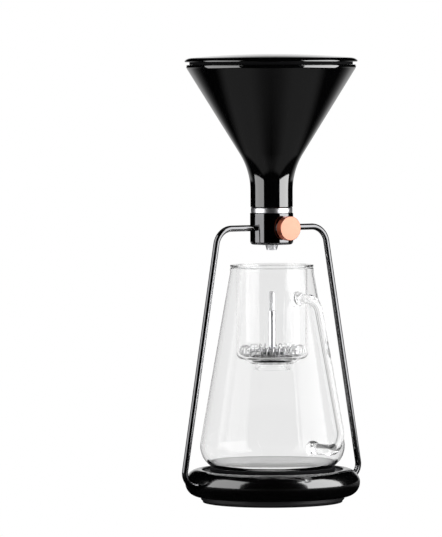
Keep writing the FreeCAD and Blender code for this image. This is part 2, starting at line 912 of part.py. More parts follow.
def make_rod(node, side):
    """Bent round bar: level out of the valve, down and outwards, and level into the side of the base."""
    body = doc.addObject("PartDesign::Body", f"{node}_body")
    path = new_sketch(body, "XZ_Plane", f"{node}_path")
    stops = [
        (side * size("rod_top_end"), valve_axis, None),
        (side * size("rod_top_corner"), valve_axis, size("rod_top_bend")),
        (side * (ring_middle_radius + size("rod_foot_overhang")), ring_height, size("rod_foot_bend")),
        (side * rod_foot_end, ring_height, None),
    ]
    draw_path(path, stops)
    section = new_sketch(body, "YZ_Plane", f"{node}_section", stops[0][0])
    circle = section.addGeometry(Part.Circle(Vector(0, valve_axis.value, 0), Vector(0, 0, 1), 1), False)
    bind(section, Sketcher.Constraint("Radius", circle, size("rod_radius").value), size("rod_radius"))
    bind_point(section, circle, 3, (as_size(0), valve_axis))
    pipe = body.newObject("PartDesign::AdditivePipe", f"{node}_pipe")
    pipe.Profile = section
    pipe.Spine = path
    keep(node, body)


def draw_path(sketch, stops):
    """An open path of straight runs with a rounded turn at each inner stop."""
    points = [Vector(x.value, y.value, 0) for x, y, bend in stops]
    runs = []
    arcs = {}
    arrive, leave = list(points), list(points)
    for i in range(1, len(stops) - 1):
        bend = stops[i][2].value
        back = (points[i - 1] - points[i]).normalize()
        ahead = (points[i + 1] - points[i]).normalize()
        half = back.getAngle(ahead) / 2
        arrive[i] = points[i] + back * (bend / math.tan(half))
        leave[i] = points[i] + ahead * (bend / math.tan(half))
        middle = points[i] + (back + ahead).normalize() * (bend / math.sin(half))
        turn = (points[i] - points[i - 1]).cross(points[i + 1] - points[i]).z
        arcs[i] = add_arc(sketch, arrive[i], leave[i], middle, turn > 0)
    for i in range(len(stops) - 1):
        runs.append(sketch.addGeometry(Part.LineSegment(leave[i], arrive[i + 1]), False))
    bind_point(sketch, runs[0], 1, stops[0][:2])
    bind_point(sketch, runs[-1], 2, stops[-1][:2])
    for i, arc in arcs.items():
        point = sketch.addGeometry(Part.Point(points[i]), True)
        bind_point(sketch, point, 1, stops[i][:2])
        sketch.addConstraint(Sketcher.Constraint("PointOnObject", point, 1, runs[i - 1]))
        sketch.addConstraint(Sketcher.Constraint("PointOnObject", point, 1, runs[i]))
        sketch.addConstraint(Sketcher.Constraint("Tangent", runs[i - 1], 2, arc[0], arc[1]))
        sketch.addConstraint(Sketcher.Constraint("Tangent", arc[0], arc[2], runs[i], 1))
        bind(sketch, Sketcher.Constraint("Radius", arc[0], stops[i][2].value), stops[i][2])
    if sketch.solve() != 0:
        raise RuntimeError(f"{sketch.Label}: the path does not solve")


# Valve

def socket_floor():
    return valve_top - size("collar_foot_length") - size("free_gap")


def make_valve_body():
    """Black-chromed cylinder that carries the rods, the valve plug, the nozzle and the funnel's coupling."""
    socket = size("collar_foot_radius") + push_gap
    shank = size("nozzle_shank_radius") + push_gap
    shank_top = valve_bottom + size("nozzle_shank_length")
    body = turned("valve", [
        corner(shank, valve_bottom),
        corner(size("valve_radius"), valve_bottom, rounding=size("valve_edge_rounding")),
        corner(size("valve_radius"), valve_top, rounding=size("knob_edge_rounding")),
        corner(socket, valve_top),
        corner(socket, socket_floor()),
        corner(size("valve_flow_radius"), socket_floor()),
        corner(size("valve_flow_radius"), shank_top),
        corner(shank, shank_top),
    ])
    front, back = size("plug_front"), size("plug_back")
    holes = [
        cylinder(
            "plug_bore", size("plug_radius") + turn_gap, front + back + turn_gap, 0, -front, valve_axis, "y",
        ),
        cylinder(
            "gland_bore", size("gland_radius") + push_gap, size("valve_radius") * 2, 0,
            -(front + size("valve_radius") * 2), valve_axis, "y",
        ),
    ]
    length = size("valve_radius") * 2
    for number, side in enumerate((-1, 1)):
        start = size("rod_top_end") if side > 0 else -(size("rod_top_end") + length)
        holes.append(cylinder(
            f"rod_socket_{number}", size("rod_radius") + push_gap, length, start, 0, valve_axis, "x",
        ))
        holes.append(cylinder(
            f"grub_hole_{number}", size("grub_radius") + push_gap, length, side * size("grub_across"), 0,
            valve_axis, "y",
        ))
    keep("valve_body", cut("valve_cut", body, *holes))


def make_rod_screws():
    """Grub screws at the back of the valve body that press on the rods."""
    screws = [
        cylinder(
            f"grub_{number}", size("grub_radius"), size("grub_length"), side * size("grub_across"),
            size("rod_radius"), valve_axis, "y",
        ) for number, side in enumerate((-1, 1))
    ]
    keep("rod_screws", group("grub_group", *screws))


def make_nozzle():
    """Polished drip nozzle pushed into the valve body from below."""
    keep("drip_nozzle", turned("nozzle", [
        corner(size("nozzle_bore_radius"), valve_bottom - size("nozzle_drop")),
        corner(size("nozzle_tip_radius"), valve_bottom - size("nozzle_drop"), rounding=size("rim_rounding")),
        corner(size("nozzle_top_radius"), valve_bottom),
        corner(size("nozzle_shank_radius"), valve_bottom),
        corner(size("nozzle_shank_radius"), valve_bottom + size("nozzle_shank_length")),
        corner(size("nozzle_bore_radius"), valve_bottom + size("nozzle_shank_length")),
    ]))


def make_gland():
    """Ring nut that holds the plug in its bore and guides the spindle."""
    front, seat = size("gland_front"), size("plug_front") + turn_gap
    rim = size("gland_rim_thickness")
    parts = [
        cylinder("gland_thread", size("gland_radius"), front - seat, 0, -front, valve_axis, "y"),
        cylinder("gland_rim", size("gland_rim_radius"), rim, 0, -front, valve_axis, "y"),
    ]
    bore = cylinder("gland_hole", size("spindle_radius") + turn_gap, front, 0, -front, valve_axis, "y")
    keep("gland_nut", cut("gland", joined("gland_parts", *parts), bore))


def make_plug():
    """Plug with its spindle. Its cross bore lies level at rest, which shuts the valve, until it turns."""
    front, back = size("plug_front"), size("plug_back")
    spindle_end = size("knob_face") - size("knob_thickness") + size("knob_bore_depth")
    parts = [
        cylinder("plug_drum", size("plug_radius"), front + back, 0, -front, valve_axis, "y"),
        cylinder("spindle", size("spindle_radius"), spindle_end - front, 0, -spindle_end, valve_axis, "y"),
    ]
    bore = size("plug_radius") * 2
    tools = [cylinder("cross_bore", size("plug_bore_radius"), bore * 2, -bore, 0, valve_axis, "x")]
    round_radius = size("plug_ring_round")
    for number, side in enumerate((-1, 1)):
        start = side * size("plug_ring_place") - round_radius
        tools.append(cut(
            f"ring_groove_{number}",
            cylinder(f"groove_outside_{number}", bore, round_radius * 2, 0, start, valve_axis, "y"),
            cylinder(
                f"groove_floor_{number}", size("plug_radius") - round_radius * 2, round_radius * 2, 0, start,
                valve_axis, "y",
            ),
        ))
    keep("valve_plug", cut("plug", joined("plug_parts", *parts), *tools))


def make_plug_rings():
    rings = [
        ring(
            f"plug_ring_{number}", size("plug_radius") - size("plug_ring_round"), size("plug_ring_round"), 0,
            side * size("plug_ring_place"), valve_axis, "y",
        ) for number, side in enumerate((-1, 1))
    ]
    keep("plug_rings", group("plug_ring_group", *rings))


def make_knob():
    """Copper knob on the spindle."""
    body = doc.addObject("PartDesign::Body", "knob")
    sketch = new_sketch(body, "XY_Plane", "knob_outline", valve_axis)
    back = size("knob_thickness") - size("knob_face")
    draw(sketch, [
        corner(0, -size("knob_face")),
        corner(size("knob_radius"), -size("knob_face"), rounding=size("knob_edge_rounding")),
        corner(size("knob_radius"), back, rounding=size("knob_edge_rounding")),
        corner(size("spindle_radius") + push_gap, back),
        corner(size("spindle_radius") + push_gap, back - size("knob_bore_depth") - push_gap),
        corner(0, back - size("knob_bore_depth") - push_gap),
    ])
    turn = body.newObject("PartDesign::Revolution", "knob_turn")
    turn.Profile = sketch
    turn.ReferenceAxis = (sketch, ["V_Axis"])
    turn.Angle = 360
    hole = cylinder(
        "knob_screw_hole", size("knob_screw_radius") + push_gap, size("knob_radius") * 2, 0,
        knob_screw_place(), valve_axis - size("knob_radius") * 2,
    )
    keep("valve_knob", cut("knob_cut", body, hole))


def knob_screw_place():
    return size("knob_thickness") - size("knob_face") - size("knob_bore_depth") / 2


def make_knob_screw():
    length = size("knob_radius") - size("spindle_radius") - size("knob_screw_inset")
    keep("knob_screw", cylinder(
        "knob_grub", size("knob_screw_radius"), length, 0, knob_screw_place(),
        valve_axis - size("spindle_radius") - length,
    ))


# Coupling, funnel and lid

def neck_ring_height():
    return collar_bottom - size("collar_foot_length") / 2


def make_collar():
    """Polished steel coupling. Its foot drops into the valve body and its top sits in the funnel's neck."""
    bore, foot = size("collar_bore_radius"), size("collar_foot_radius")
    top, round_radius = size("neck_bore_radius") - push_gap, size("neck_ring_round")
    groove = foot - round_radius * 2
    keep("coupling_collar", turned("collar", [
        corner(bore, collar_bottom - size("collar_foot_length")),
        corner(foot, collar_bottom - size("collar_foot_length")),
        corner(foot, neck_ring_height() - round_radius),
        corner(groove, neck_ring_height() - round_radius),
        corner(groove, neck_ring_height() + round_radius),
        corner(foot, neck_ring_height() + round_radius),
        corner(foot, collar_bottom),
        corner(size("collar_radius"), collar_bottom),
        corner(size("collar_radius"), funnel_bottom),
        corner(top, funnel_bottom),
        corner(top, funnel_bottom + size("collar_top_length")),
        corner(bore, funnel_bottom + size("collar_top_length")),
    ]))


def make_neck_seal():
    keep("neck_seal", ring(
        "neck_ring", size("collar_foot_radius") - size("neck_ring_round"), size("neck_ring_round"), 0, 0,
        neck_ring_height(),
    ))


def funnel_wall_across():
    return size("funnel_wall") / cosine(size("funnel_half_angle"))


def cone_height(radius):
    """Height at which the cone's outer face has a radius."""
    return rim_top - (size("funnel_mouth_radius") - radius) / tangent(size("funnel_half_angle"))


def make_funnel():
    """Glossy cone that sweeps into a straight neck, with an upright rim."""
    across = funnel_wall_across()
    bore = size("neck_bore_radius")
    keep("funnel", turned("funnel_body", [
        corner(bore, funnel_bottom),
        corner(size("neck_radius"), funnel_bottom, rounding=size("neck_edge_rounding")),
        corner(size("neck_radius"), cone_height(size("neck_radius")), rounding=size("funnel_shoulder_bend")),
        corner(size("rim_radius"), cone_height(size("rim_radius")), rounding=size("rim_bend")),
        corner(size("rim_radius"), rim_top, rounding=size("rim_rounding")),
        corner(size("funnel_mouth_radius") - across, rim_top),
        corner(bore, cone_height(bore + across), rounding=size("funnel_shoulder_bend") - size("funnel_wall")),
    ]))


def lid_ring_radius():
    """Outside of the lid's ring, which drops into the funnel's mouth with a clearance."""
    return size("funnel_mouth_radius") - funnel_wall_across() - size("lid_ring_clearance")


def make_lid():
    """Shallow dome whose edge rolls over to a narrow lip, with a ring that drops inside the funnel's rim."""
    low = rim_top + size("lid_gap")
    tip = low + size("lid_edge_height")
    top = tip + size("lid_rise")
    lip_start = size("lid_radius") - size("lid_tip_bend") * (1 - sine(size("lid_tip_slope")))
    bend, shoulder = size("lid_dome_bend"), size("lid_shoulder_radius")
    inner_bend = bend - size("lid_wall")
    ring = lid_ring_radius()
    ring_inner = ring - size("lid_ring_wall")
    keep("lid", turned("lid_body", [
        corner(0, top),
        corner(shoulder, top - bend + root(bend * bend - shoulder * shoulder), arc=-bend),
        corner(
            lip_start, tip + size("lid_tip_bend") * cosine(size("lid_tip_slope")),
            arc=-size("lid_edge_bend"),
        ),
        corner(size("lid_radius"), tip, arc=-size("lid_tip_bend")),
        corner(size("lid_radius") - size("lid_edge_height") / 2, low),
        corner(ring, low),
        corner(ring, rim_top - size("lid_ring_depth")),
        corner(ring_inner, rim_top - size("lid_ring_depth")),
        corner(ring_inner, top - bend + root(inner_bend * inner_bend - ring_inner * ring_inner)),
        corner(0, top - size("lid_wall"), arc=inner_bend),
    ]))


def make_lid_seal():
    """Soft ring under the lid that rests on the funnel's rim and leaves a thin shadow line at the edge."""
    inner = lid_ring_radius() + size("lid_seal_clearance")
    outer = inner + size("lid_seal_width")
    keep("lid_seal", turned("lid_ring", [
        corner(inner, rim_top + rest_gap),
        corner(outer, rim_top + rest_gap),
        corner(outer, rim_top + size("lid_gap")),
        corner(inner, rim_top + size("lid_gap")),
    ]))


# Carafe

def carafe_heel():
    """Corner where the foot's slope meets the tapered wall."""
    slope, taper = size("carafe_heel_angle"), size("carafe_taper")
    lip_low = carafe_top - size("carafe_lip_height")
    reach = size("carafe_mouth_radius") + tangent(taper) * (lip_low - carafe_bottom)
    run = (reach - size("carafe_foot_radius")) / (cosine(slope) + tangent(taper) * sine(slope))
    return size("carafe_foot_radius") + run * cosine(slope), carafe_bottom + run * sine(slope)


def inset(place, before, after, wall):
    """A corner moved inwards by the wall, to the left of the way. The angles are those of its two edges."""
    middle, half = (before + after) / 2, (after - before) / 2
    push = wall / cosine(half)
    return place[0] - push * sine(middle), place[1] + push * cosine(middle)


def carafe_outside():
    heel = carafe_heel()
    lip_low = carafe_top - size("carafe_lip_height")
    return [
        corner(0, carafe_bottom),
        corner(size("carafe_foot_radius"), carafe_bottom, rounding=size("carafe_foot_rounding")),
        corner(heel[0], heel[1], rounding=size("carafe_heel_bend")),
        corner(size("carafe_mouth_radius"), lip_low, rounding=size("carafe_lip_bend")),
    ]


def make_carafe():
    """Tapered glass jug with a thick floor, a rounded heel and a fire-polished rim."""
    wall, slope, taper = size("carafe_wall"), size("carafe_heel_angle"), size("carafe_taper")
    upright = as_size(90)
    lip_low = carafe_top - size("carafe_lip_height")
    floor_top = carafe_bottom + size("carafe_floor")
    lip = inset((size("carafe_mouth_radius"), lip_low), upright + taper, upright, wall)
    heel = inset(carafe_heel(), slope, upright + taper, wall)
    floor_edge = heel[0] - (heel[1] - floor_top) / tangent(slope)
    keep("carafe", turned("jug", carafe_outside() + [
        corner(size("carafe_mouth_radius"), carafe_top, rounding=size("carafe_rim_rounding")),
        corner(size("carafe_mouth_radius") - wall, carafe_top, rounding=size("carafe_rim_rounding")),
        corner(lip[0], lip[1], rounding=size("carafe_lip_bend") + wall),
        corner(heel[0], heel[1], rounding=size("carafe_heel_inner_bend")),
        corner(floor_edge, floor_top),
        corner(0, floor_top),
    ]))


def make_handle():
    """Bent glass rod fused to the wall by a melted blob at each end."""
    body = doc.addObject("PartDesign::Body", "handle")
    path = new_sketch(body, "YZ_Plane", "handle_path")
    top = carafe_bottom + size("handle_top_height")
    foot = carafe_bottom + size("handle_foot_height")
    inside = size("carafe_mouth_radius") - size("carafe_wall")
    draw_path(path, [
        (-inside, top, None),
        (-size("handle_top_reach"), top, size("handle_bend")),
        (-size("handle_foot_reach"), foot, size("handle_bend")),
        (-inside, foot, None),
    ])
    section = new_sketch(body, "XZ_Plane", "handle_section", inside)
    circle = section.addGeometry(Part.Circle(Vector(0, top.value, 0), Vector(0, 0, 1), 1), False)
    bind(section, Sketcher.Constraint("Radius", circle, size("handle_radius").value), size("handle_radius"))
    bind_point(section, circle, 3, (as_size(0), top))
    pipe = body.newObject("PartDesign::AdditivePipe", "handle_pipe")
    pipe.Profile = section
    pipe.Spine = path
    wall_top = carafe_radius(top)
    wall_foot = carafe_radius(foot)
    blobs = [
        ball("blob_top", size("handle_blob_radius"), 0, -wall_top, top),
        ball("blob_foot", size("handle_blob_radius"), 0, -wall_foot, foot),
    ]
    outside = carafe_outside()
    envelope = turned("jug_envelope", outside + [
        corner(size("carafe_mouth_radius"), carafe_top),
        corner(0, carafe_top),
    ])
    keep("carafe_handle", cut("handle_cut", joined("handle_parts", body, *blobs), envelope))


def carafe_radius(height):
    """Outer radius of the tapered wall at a height."""
    lip_low = carafe_top - size("carafe_lip_height")
    return size("carafe_mouth_radius") + tangent(size("carafe_taper")) * (lip_low - height)


# Drip chamber

def make_chamber():
    """Clear cylinder that hangs by its flange in the carafe's mouth, with a well and an outlet below."""
    radius, wall = size("chamber_radius"), size("chamber_wall")
    floor, well = size("chamber_floor"), size("chamber_well_radius")
    low = chamber_bottom - size("chamber_well_depth")
    outlet, outlet_inside = size("outlet_radius"), size("outlet_radius") - size("outlet_wall")
    outlet_low = chamber_bottom - size("outlet_drop")
    lip = size("outlet_lip")
    slope_radius = well + size("chamber_well_slope")
    keep("drip_chamber", turned("chamber", [
        corner(outlet_inside, outlet_low),
        corner(outlet + lip, outlet_low, rounding=lip / 2),
        corner(outlet + lip, outlet_low + size("outlet_lip_height"), rounding=lip / 2),
        corner(outlet, outlet_low + size("outlet_lip_height") + lip),
        corner(outlet, low, rounding=lip),
        corner(well + floor / 2, low, rounding=lip * 2),
        corner(slope_radius, chamber_bottom, rounding=lip * 2),
        corner(radius, chamber_bottom, rounding=size("chamber_corner_bend")),
        corner(radius, flange_bottom, rounding=lip),
        corner(size("chamber_flange_radius"), flange_bottom, rounding=lip),
        corner(size("chamber_flange_radius"), chamber_top, rounding=lip),
        corner(radius - wall, chamber_top, rounding=lip),
        corner(radius - wall, chamber_bottom + floor, rounding=size("chamber_corner_bend") - wall),
        corner(slope_radius - floor / 2, chamber_bottom + floor, rounding=lip),
        corner(well, low + floor, rounding=lip),
        corner(outlet_inside, low + floor, rounding=lip),
    ]))


def make_seat_ring():
    """Soft ring between the chamber's flange and the carafe's rim."""
    keep("chamber_seat_ring", turned("seat", [
        corner(size("chamber_radius"), carafe_top + rest_gap),
        corner(size("seat_ring_radius"), carafe_top + rest_gap),
        corner(size("seat_ring_radius"), flange_bottom),
        corner(size("chamber_radius") + size("outlet_lip"), flange_bottom),
    ]))


# Filter

def make_filter_seal():
    """Dark soft ring that seals the filter on the well's floor."""
    keep("filter_seal", turned("seal", [
        corner(size("filter_seal_inner_radius"), well_top + rest_gap),
        corner(size("filter_seal_radius"), well_top + rest_gap),
        corner(size("filter_seal_radius"), seal_top),
        corner(size("filter_seal_inner_radius"), seal_top),
    ]))


def drilled_disc(name, radius, bore, low, high):
    return turned(name, [
        corner(bore, low),
        corner(radius, low),
        corner(radius, high),
        corner(bore, high),
    ])


def stem_hole():
    return size("stem_foot_radius") + push_gap


def make_filter_mesh():
    """Woven steel disc clamped between the hub and the washer, over the outlet."""
    keep("filter_mesh", drilled_disc("mesh", size("mesh_radius"), stem_hole(), seal_top, mesh_top))


def make_filter_hub():
    """Turned steel hub between the mesh and the notched disc."""
    keep("filter_hub", turned("hub", [
        corner(stem_hole(), mesh_top),
        corner(size("hub_radius"), mesh_top),
        corner(size("hub_radius"), mesh_top + size("hub_height") / 2),
        corner(size("hub_top_radius"), disc_bottom),
        corner(stem_hole(), disc_bottom),
    ]))


def make_filter_disc():
    """Steel disc with a ring of flow holes, and a notch in its rim for each turn of the coil."""
    body = drilled_disc("notched_disc", size("disc_radius"), stem_hole(), disc_bottom, disc_top)
    doc.recompute()
    holes = new_sketch(body, "XY_Plane", "flow_hole", disc_bottom)
    centre, radius = Vector(size("disc_hole_circle").value, 0, 0), size("disc_hole_radius")
    circle = holes.addGeometry(Part.Circle(centre, Vector(0, 0, 1), 1))
    bind(holes, Sketcher.Constraint("Radius", circle, radius.value), radius)
    bind_point(holes, circle, 3, (size("disc_hole_circle"), as_size(0)))
    hole = repeated_pocket(body, holes, "flow_hole", size("disc_hole_count"))
    notch = new_sketch(body, "XY_Plane", "coil_notch", disc_bottom)
    depth = size("coil_ring_radius") - size("coil_turn_radius") - size("coil_wire_radius") - push_gap
    half = size("coil_notch_width") / 2
    draw(notch, [
        corner(depth, -half),
        corner(size("disc_radius") + half, -half),
        corner(size("disc_radius") + half, half),
        corner(depth, half),
    ])
    repeated_pocket(body, notch, "coil_notch", size("coil_turns"))
    if not hole.Shape.isValid():
        raise RuntimeError("the flow holes failed")
    keep("filter_disc", body)


def repeated_pocket(body, sketch, name, count):
    """Cuts a sketch up through the disc, and repeats the cut around Z."""
    pocket = body.newObject("PartDesign::Pocket", f"{name}_pocket")
    pocket.Profile = sketch
    pocket.Reversed = True
    pocket.setExpression("Length", (size("disc_thickness") * 2).text)
    doc.recompute()
    pattern = body.newObject("PartDesign::PolarPattern", f"{name}_pattern")
    pattern.Originals = [pocket]
    pattern.Axis = (sketch, ["N_Axis"])
    pattern.Angle = 360
    pattern.setExpression("Occurrences", count.text)
    body.Tip = pattern
    doc.recompute()
    return pattern


def coil_place(turn, ring_radius, turn_radius, turns):
    """A point of the coil's middle line and its direction, at a number of turns from the start."""
    small = 2 * math.pi * turn
    big = 2 * math.pi * (turn - 0.5) / turns
    reach = ring_radius + turn_radius * math.cos(small)
    point = Vector(reach * math.cos(big), reach * math.sin(big), turn_radius * math.sin(small))
    inward = -turn_radius * math.sin(small) * 2 * math.pi
    sweep = reach * 2 * math.pi / turns
    way = Vector(
        inward * math.cos(big) - sweep * math.sin(big),
        inward * math.sin(big) + sweep * math.cos(big),
        turn_radius * math.cos(small) * 2 * math.pi,
    )
    return point, way.normalize()


def arc_from(start, way, end):
    """The arc that leaves start along way and ends at end."""
    chord = end - start
    side = chord - way * chord.dot(way)
    centre = start + side * (chord.dot(chord) / (2 * side.dot(side)))
    outward = ((start - centre) + (end - centre)).normalize()
    return Part.Arc(start, centre + outward * (start - centre).Length, end).toShape()


def biarc(start, start_way, end, end_way):
    """Two arcs that meet smoothly and keep the directions at both ends."""
    chord, total = end - start, start_way + end_way
    share = 2 * (1 - start_way.dot(end_way))
    along = chord.dot(total)
    reach = (-along + math.sqrt(along ** 2 + share * chord.dot(chord))) / share
    meeting = (start + end + (start_way - end_way) * reach) * 0.5
    second = arc_from(end, end_way * -1, meeting)
    return [arc_from(start, start_way, meeting), second]


def make_filter_coil():
    """Wire coil round the disc's rim, one unbroken wire of many turns that wipes the chamber's wall."""
    turns = int(sheet.get("coil_turns"))
    ring_radius, turn_radius = sheet.get("coil_ring_radius"), sheet.get("coil_turn_radius")
    wire_radius = sheet.get("coil_wire_radius")
    quarters = 4 * turns - 3
    places = [coil_place(number / 4, ring_radius, turn_radius, turns) for number in range(quarters)]
    edges = []
    for (start, start_way), (end, end_way) in zip(places, places[1:]):
        edges.extend(biarc(start, start_way, end, end_way))
    path = Part.Wire(Part.__sortEdges__(edges))
    start, way = places[0]
    section = Part.Wire([Part.Circle(start, way, wire_radius).toShape()])
    wire = path.makePipeShell([section], True, False)
    print("coil volume against section times length:",
          round(wire.Volume / (math.pi * wire_radius ** 2 * path.Length), 5))
    print("coil's least gap to itself:", round(least_gap(ring_radius, turn_radius, turns, wire_radius), 3))
    coil = doc.addObject("Part::Feature", "coil")
    coil.Shape = wire
    coil.Placement = Placement(Vector(0, 0, coil_height.value), Rotation())
    keep("filter_coil", coil)


def least_gap(ring_radius, turn_radius, turns, wire_radius):
    steps = 48
    last = (turns - 1) * steps
    line = [coil_place(n / steps, ring_radius, turn_radius, turns)[0] for n in range(last + 1)]
    gaps = []
    for n in range(last + 1):
        for ahead in range(steps // 2, steps + steps // 2):
            if n + ahead <= last:
                gaps.append((line[n + ahead] - line[n]).Length)
    gaps.append((line[-1] - line[0]).Length)
    return min(gaps) - 2 * wire_radius


def make_stem():
    """Polished rod on the disc, with a thinner foot through the stack and a socket for the grip."""
    keep("filter_rod", turned("stem", [
        corner(0, disc_top - size("stem_foot_length")),
        corner(size("stem_foot_radius"), disc_top - size("stem_foot_length")),
        corner(size("stem_foot_radius"), disc_top),
        corner(size("stem_radius"), disc_top),
        corner(size("stem_radius"), stem_top, rounding=size("knob_edge_rounding")),
        corner(size("stem_socket_radius"), stem_top),
        corner(size("stem_socket_radius"), stem_top - size("stem_socket_depth")),
        corner(0, stem_top - size("stem_socket_depth")),
    ]))


def make_grip():
    """Knurled tip that lifts the filter out."""
    pin = size("stem_socket_radius") - push_gap
    keep("filter_grip", turned("grip", [
        corner(0, stem_top - size("stem_socket_depth") + push_gap),
        corner(pin, stem_top - size("stem_socket_depth") + push_gap),
        corner(pin, stem_top),
        corner(size("grip_radius"), stem_top),
        corner(size("grip_radius"), stem_top + size("grip_length") - size("grip_chamfer")),
        corner(size("grip_radius") - size("grip_chamfer"), stem_top + size("grip_length")),
        corner(0, stem_top + size("grip_length")),
    ]))


def make_washer():
    keep("filter_washer", drilled_disc(
        "washer", size("washer_radius"), stem_hole(), seal_top - size("washer_thickness"), seal_top,
    ))


def make_nut():
    """Hexagon nut on the foot of the rod, under the washer."""
    nut_top = seal_top - size("washer_thickness")
    sides = int(sheet.get("nut_sides"))
    reach = size("nut_across_flats") / 2 / cosine(as_size(180 / sides))
    hexagon = padded("nut", [
        corner(x, y) for number, x, y in around(sides, reach, 0)
    ], nut_top - size("nut_height"), size("nut_height"))
    hole = cylinder("nut_hole", stem_hole(), size("nut_height"), 0, 0, nut_top - size("nut_height"))
    keep("filter_nut", cut("nut_cut", hexagon, hole))


def make_everything():
    for make in (
        make_mat, make_bottom_plate, make_base_screws, make_base_shell, make_platform, make_pad,
        make_load_cell, make_cell_spacers, make_cell_screws, make_board, make_standoffs, make_battery,
        make_charge_socket, make_power_button, make_button_switch, make_rod_clamps, make_clamp_screws,
    ):
        make()
    make_rod("left_rod", -1)
    make_rod("right_rod", 1)
    for make in (
        make_valve_body, make_rod_screws, make_nozzle, make_gland, make_plug, make_plug_rings, make_knob,
        make_knob_screw, make_collar, make_neck_seal, make_funnel, make_lid, make_lid_seal, make_carafe,
        make_handle, make_chamber, make_seat_ring, make_filter_seal, make_filter_mesh, make_filter_hub,
        make_filter_disc, make_filter_coil, make_stem, make_grip, make_washer, make_nut,
    ):
        make()
    doc.recompute()


def check_everything():
    for thing in doc.Objects:
        if "Invalid" in thing.State or "Error" in thing.State:
            raise RuntimeError(f"{thing.Label} failed: {thing.State}")
    for piece in pieces:
        if piece.Shape.isNull() or not piece.Shape.isValid():
            raise RuntimeError(f"{piece.Label} has no valid shape")
        if not piece.Shape.Solids:
            raise RuntimeError(f"{piece.Label} has no solid")


make_everything()
check_everything()
os.makedirs("parts", exist_ok=True)
for piece in pieces:
    piece.Shape.exportStep(f"parts/{piece.Label}.step")
    print(piece.Label, "solids", len(piece.Shape.Solids), "volume", round(piece.Shape.Volume, 1))
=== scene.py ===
import math

import bmesh
import bpy
from mathutils import Matrix, Vector


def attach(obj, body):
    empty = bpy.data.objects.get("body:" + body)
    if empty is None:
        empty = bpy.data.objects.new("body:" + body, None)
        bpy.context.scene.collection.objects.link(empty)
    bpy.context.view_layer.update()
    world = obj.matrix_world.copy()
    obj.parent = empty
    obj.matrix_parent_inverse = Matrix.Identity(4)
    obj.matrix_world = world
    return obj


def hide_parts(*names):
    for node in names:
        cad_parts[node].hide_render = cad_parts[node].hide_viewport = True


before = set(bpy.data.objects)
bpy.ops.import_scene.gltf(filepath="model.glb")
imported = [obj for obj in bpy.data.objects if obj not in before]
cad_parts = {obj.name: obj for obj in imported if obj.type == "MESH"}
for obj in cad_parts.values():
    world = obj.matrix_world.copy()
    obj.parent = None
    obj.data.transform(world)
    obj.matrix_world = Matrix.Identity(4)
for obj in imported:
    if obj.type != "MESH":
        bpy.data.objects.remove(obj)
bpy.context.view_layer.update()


# Camera. It stands four metres off, a third of a right angle to the left of the knob and level with the lid.
# Its long lens looks down a little, and past the axis, as the picture has the maker right of the middle.
scene = bpy.context.scene
lens = bpy.data.cameras.new("camera")
lens.sensor_width = 36.0
lens.lens = 335.0
lens.clip_end = 60.0
camera = bpy.data.objects.new("camera", lens)
scene.collection.objects.link(camera)
standpoint = Vector((-2.326, -3.527, 0.380))
aim = Vector((-0.0359, 0.0237, 0.198))
camera_lean = math.radians(-0.23)
towards = (aim - standpoint).to_track_quat("-Z", "Y").to_matrix().to_4x4()
camera.matrix_world = Matrix.Translation(standpoint) @ towards @ Matrix.Rotation(camera_lean, 4, "Z")
bpy.context.scene.camera = camera


# Studio. The camera sees plain white all round. What the glossy pieces mirror is darker: a grey table top,
# a white card behind the maker, black beyond, and a tall soft box on each side, whose light runs down
# everything glossy.
class Signal:
    """A node's output, so that sums of signals are written as they are read."""

    def __init__(self, tree, socket=None):
        self.tree = tree
        self.socket = socket

    def node(self, kind, settings=None, inputs=None, output=0):
        """Adds a node: first its settings, then the values or links of its sockets."""
        added = self.tree.nodes.new(kind)
        for name, value in (settings or {}).items():
            setattr(added, name, value)
        for name, value in (inputs or {}).items():
            if isinstance(value, Signal):
                self.tree.links.new(value.socket, added.inputs[name])
            else:
                added.inputs[name].default_value = value
        return Signal(self.tree, added.outputs[output] if added.outputs else None)

    def maths(self, operation, *values):
        return self.node("ShaderNodeMath", {"operation": operation}, dict(enumerate(values)))

    def __add__(self, other):
        return self.maths("ADD", self, other)

    def __sub__(self, other):
        return self.maths("SUBTRACT", self, other)

    def __mul__(self, other):
        return self.maths("MULTIPLY", self, other)

    def __truediv__(self, other):
        return self.maths("DIVIDE", self, other)

    def __rsub__(self, other):
        return self.maths("SUBTRACT", other, self)

    def __rtruediv__(self, other):
        return self.maths("DIVIDE", other, self)

    __radd__ = __add__
    __rmul__ = __mul__

    def between(self, low, high):
        """0 below low, 1 above high, and a smooth step from one to the other."""
        return self.node(
            "ShaderNodeMapRange", {"interpolation_type": "SMOOTHSTEP"},
            {"Value": self, "From Min": low, "From Max": high},
        )

    def blend(self, first, second):
        """The first colour where the signal is 0, the second where it is 1."""
        return self.node("ShaderNodeMix", {"data_type": "RGBA"}, {0: self, 6: first, 7: second}, output=2)


view_ahead = Vector((-0.5505, -0.8348, 0.0))
view_right = Vector((0.8348, -0.5505, 0.0))
scene.view_settings.view_transform = "Standard"
scene.world = bpy.data.worlds.new("studio")
scene.world.use_nodes = True
world_tree = scene.world.node_tree
world_tree.nodes.clear()
matt_level = 0.85


def share(place, mirrored, through):
    """Brightness by kind of ray: white to the camera, softer to matt pieces, as given to gloss and glass."""
    to_gloss = place.node("ShaderNodeLightPath", output="Is Glossy Ray")
    to_glass = place.node("ShaderNodeLightPath", output="Is Transmission Ray")
    to_camera = place.node("ShaderNodeLightPath", output="Is Camera Ray")
    level = to_gloss * mirrored + (1 - to_gloss) * matt_level
    level = to_glass * through + (1 - to_glass) * level
    return to_camera + (1 - to_camera) * level


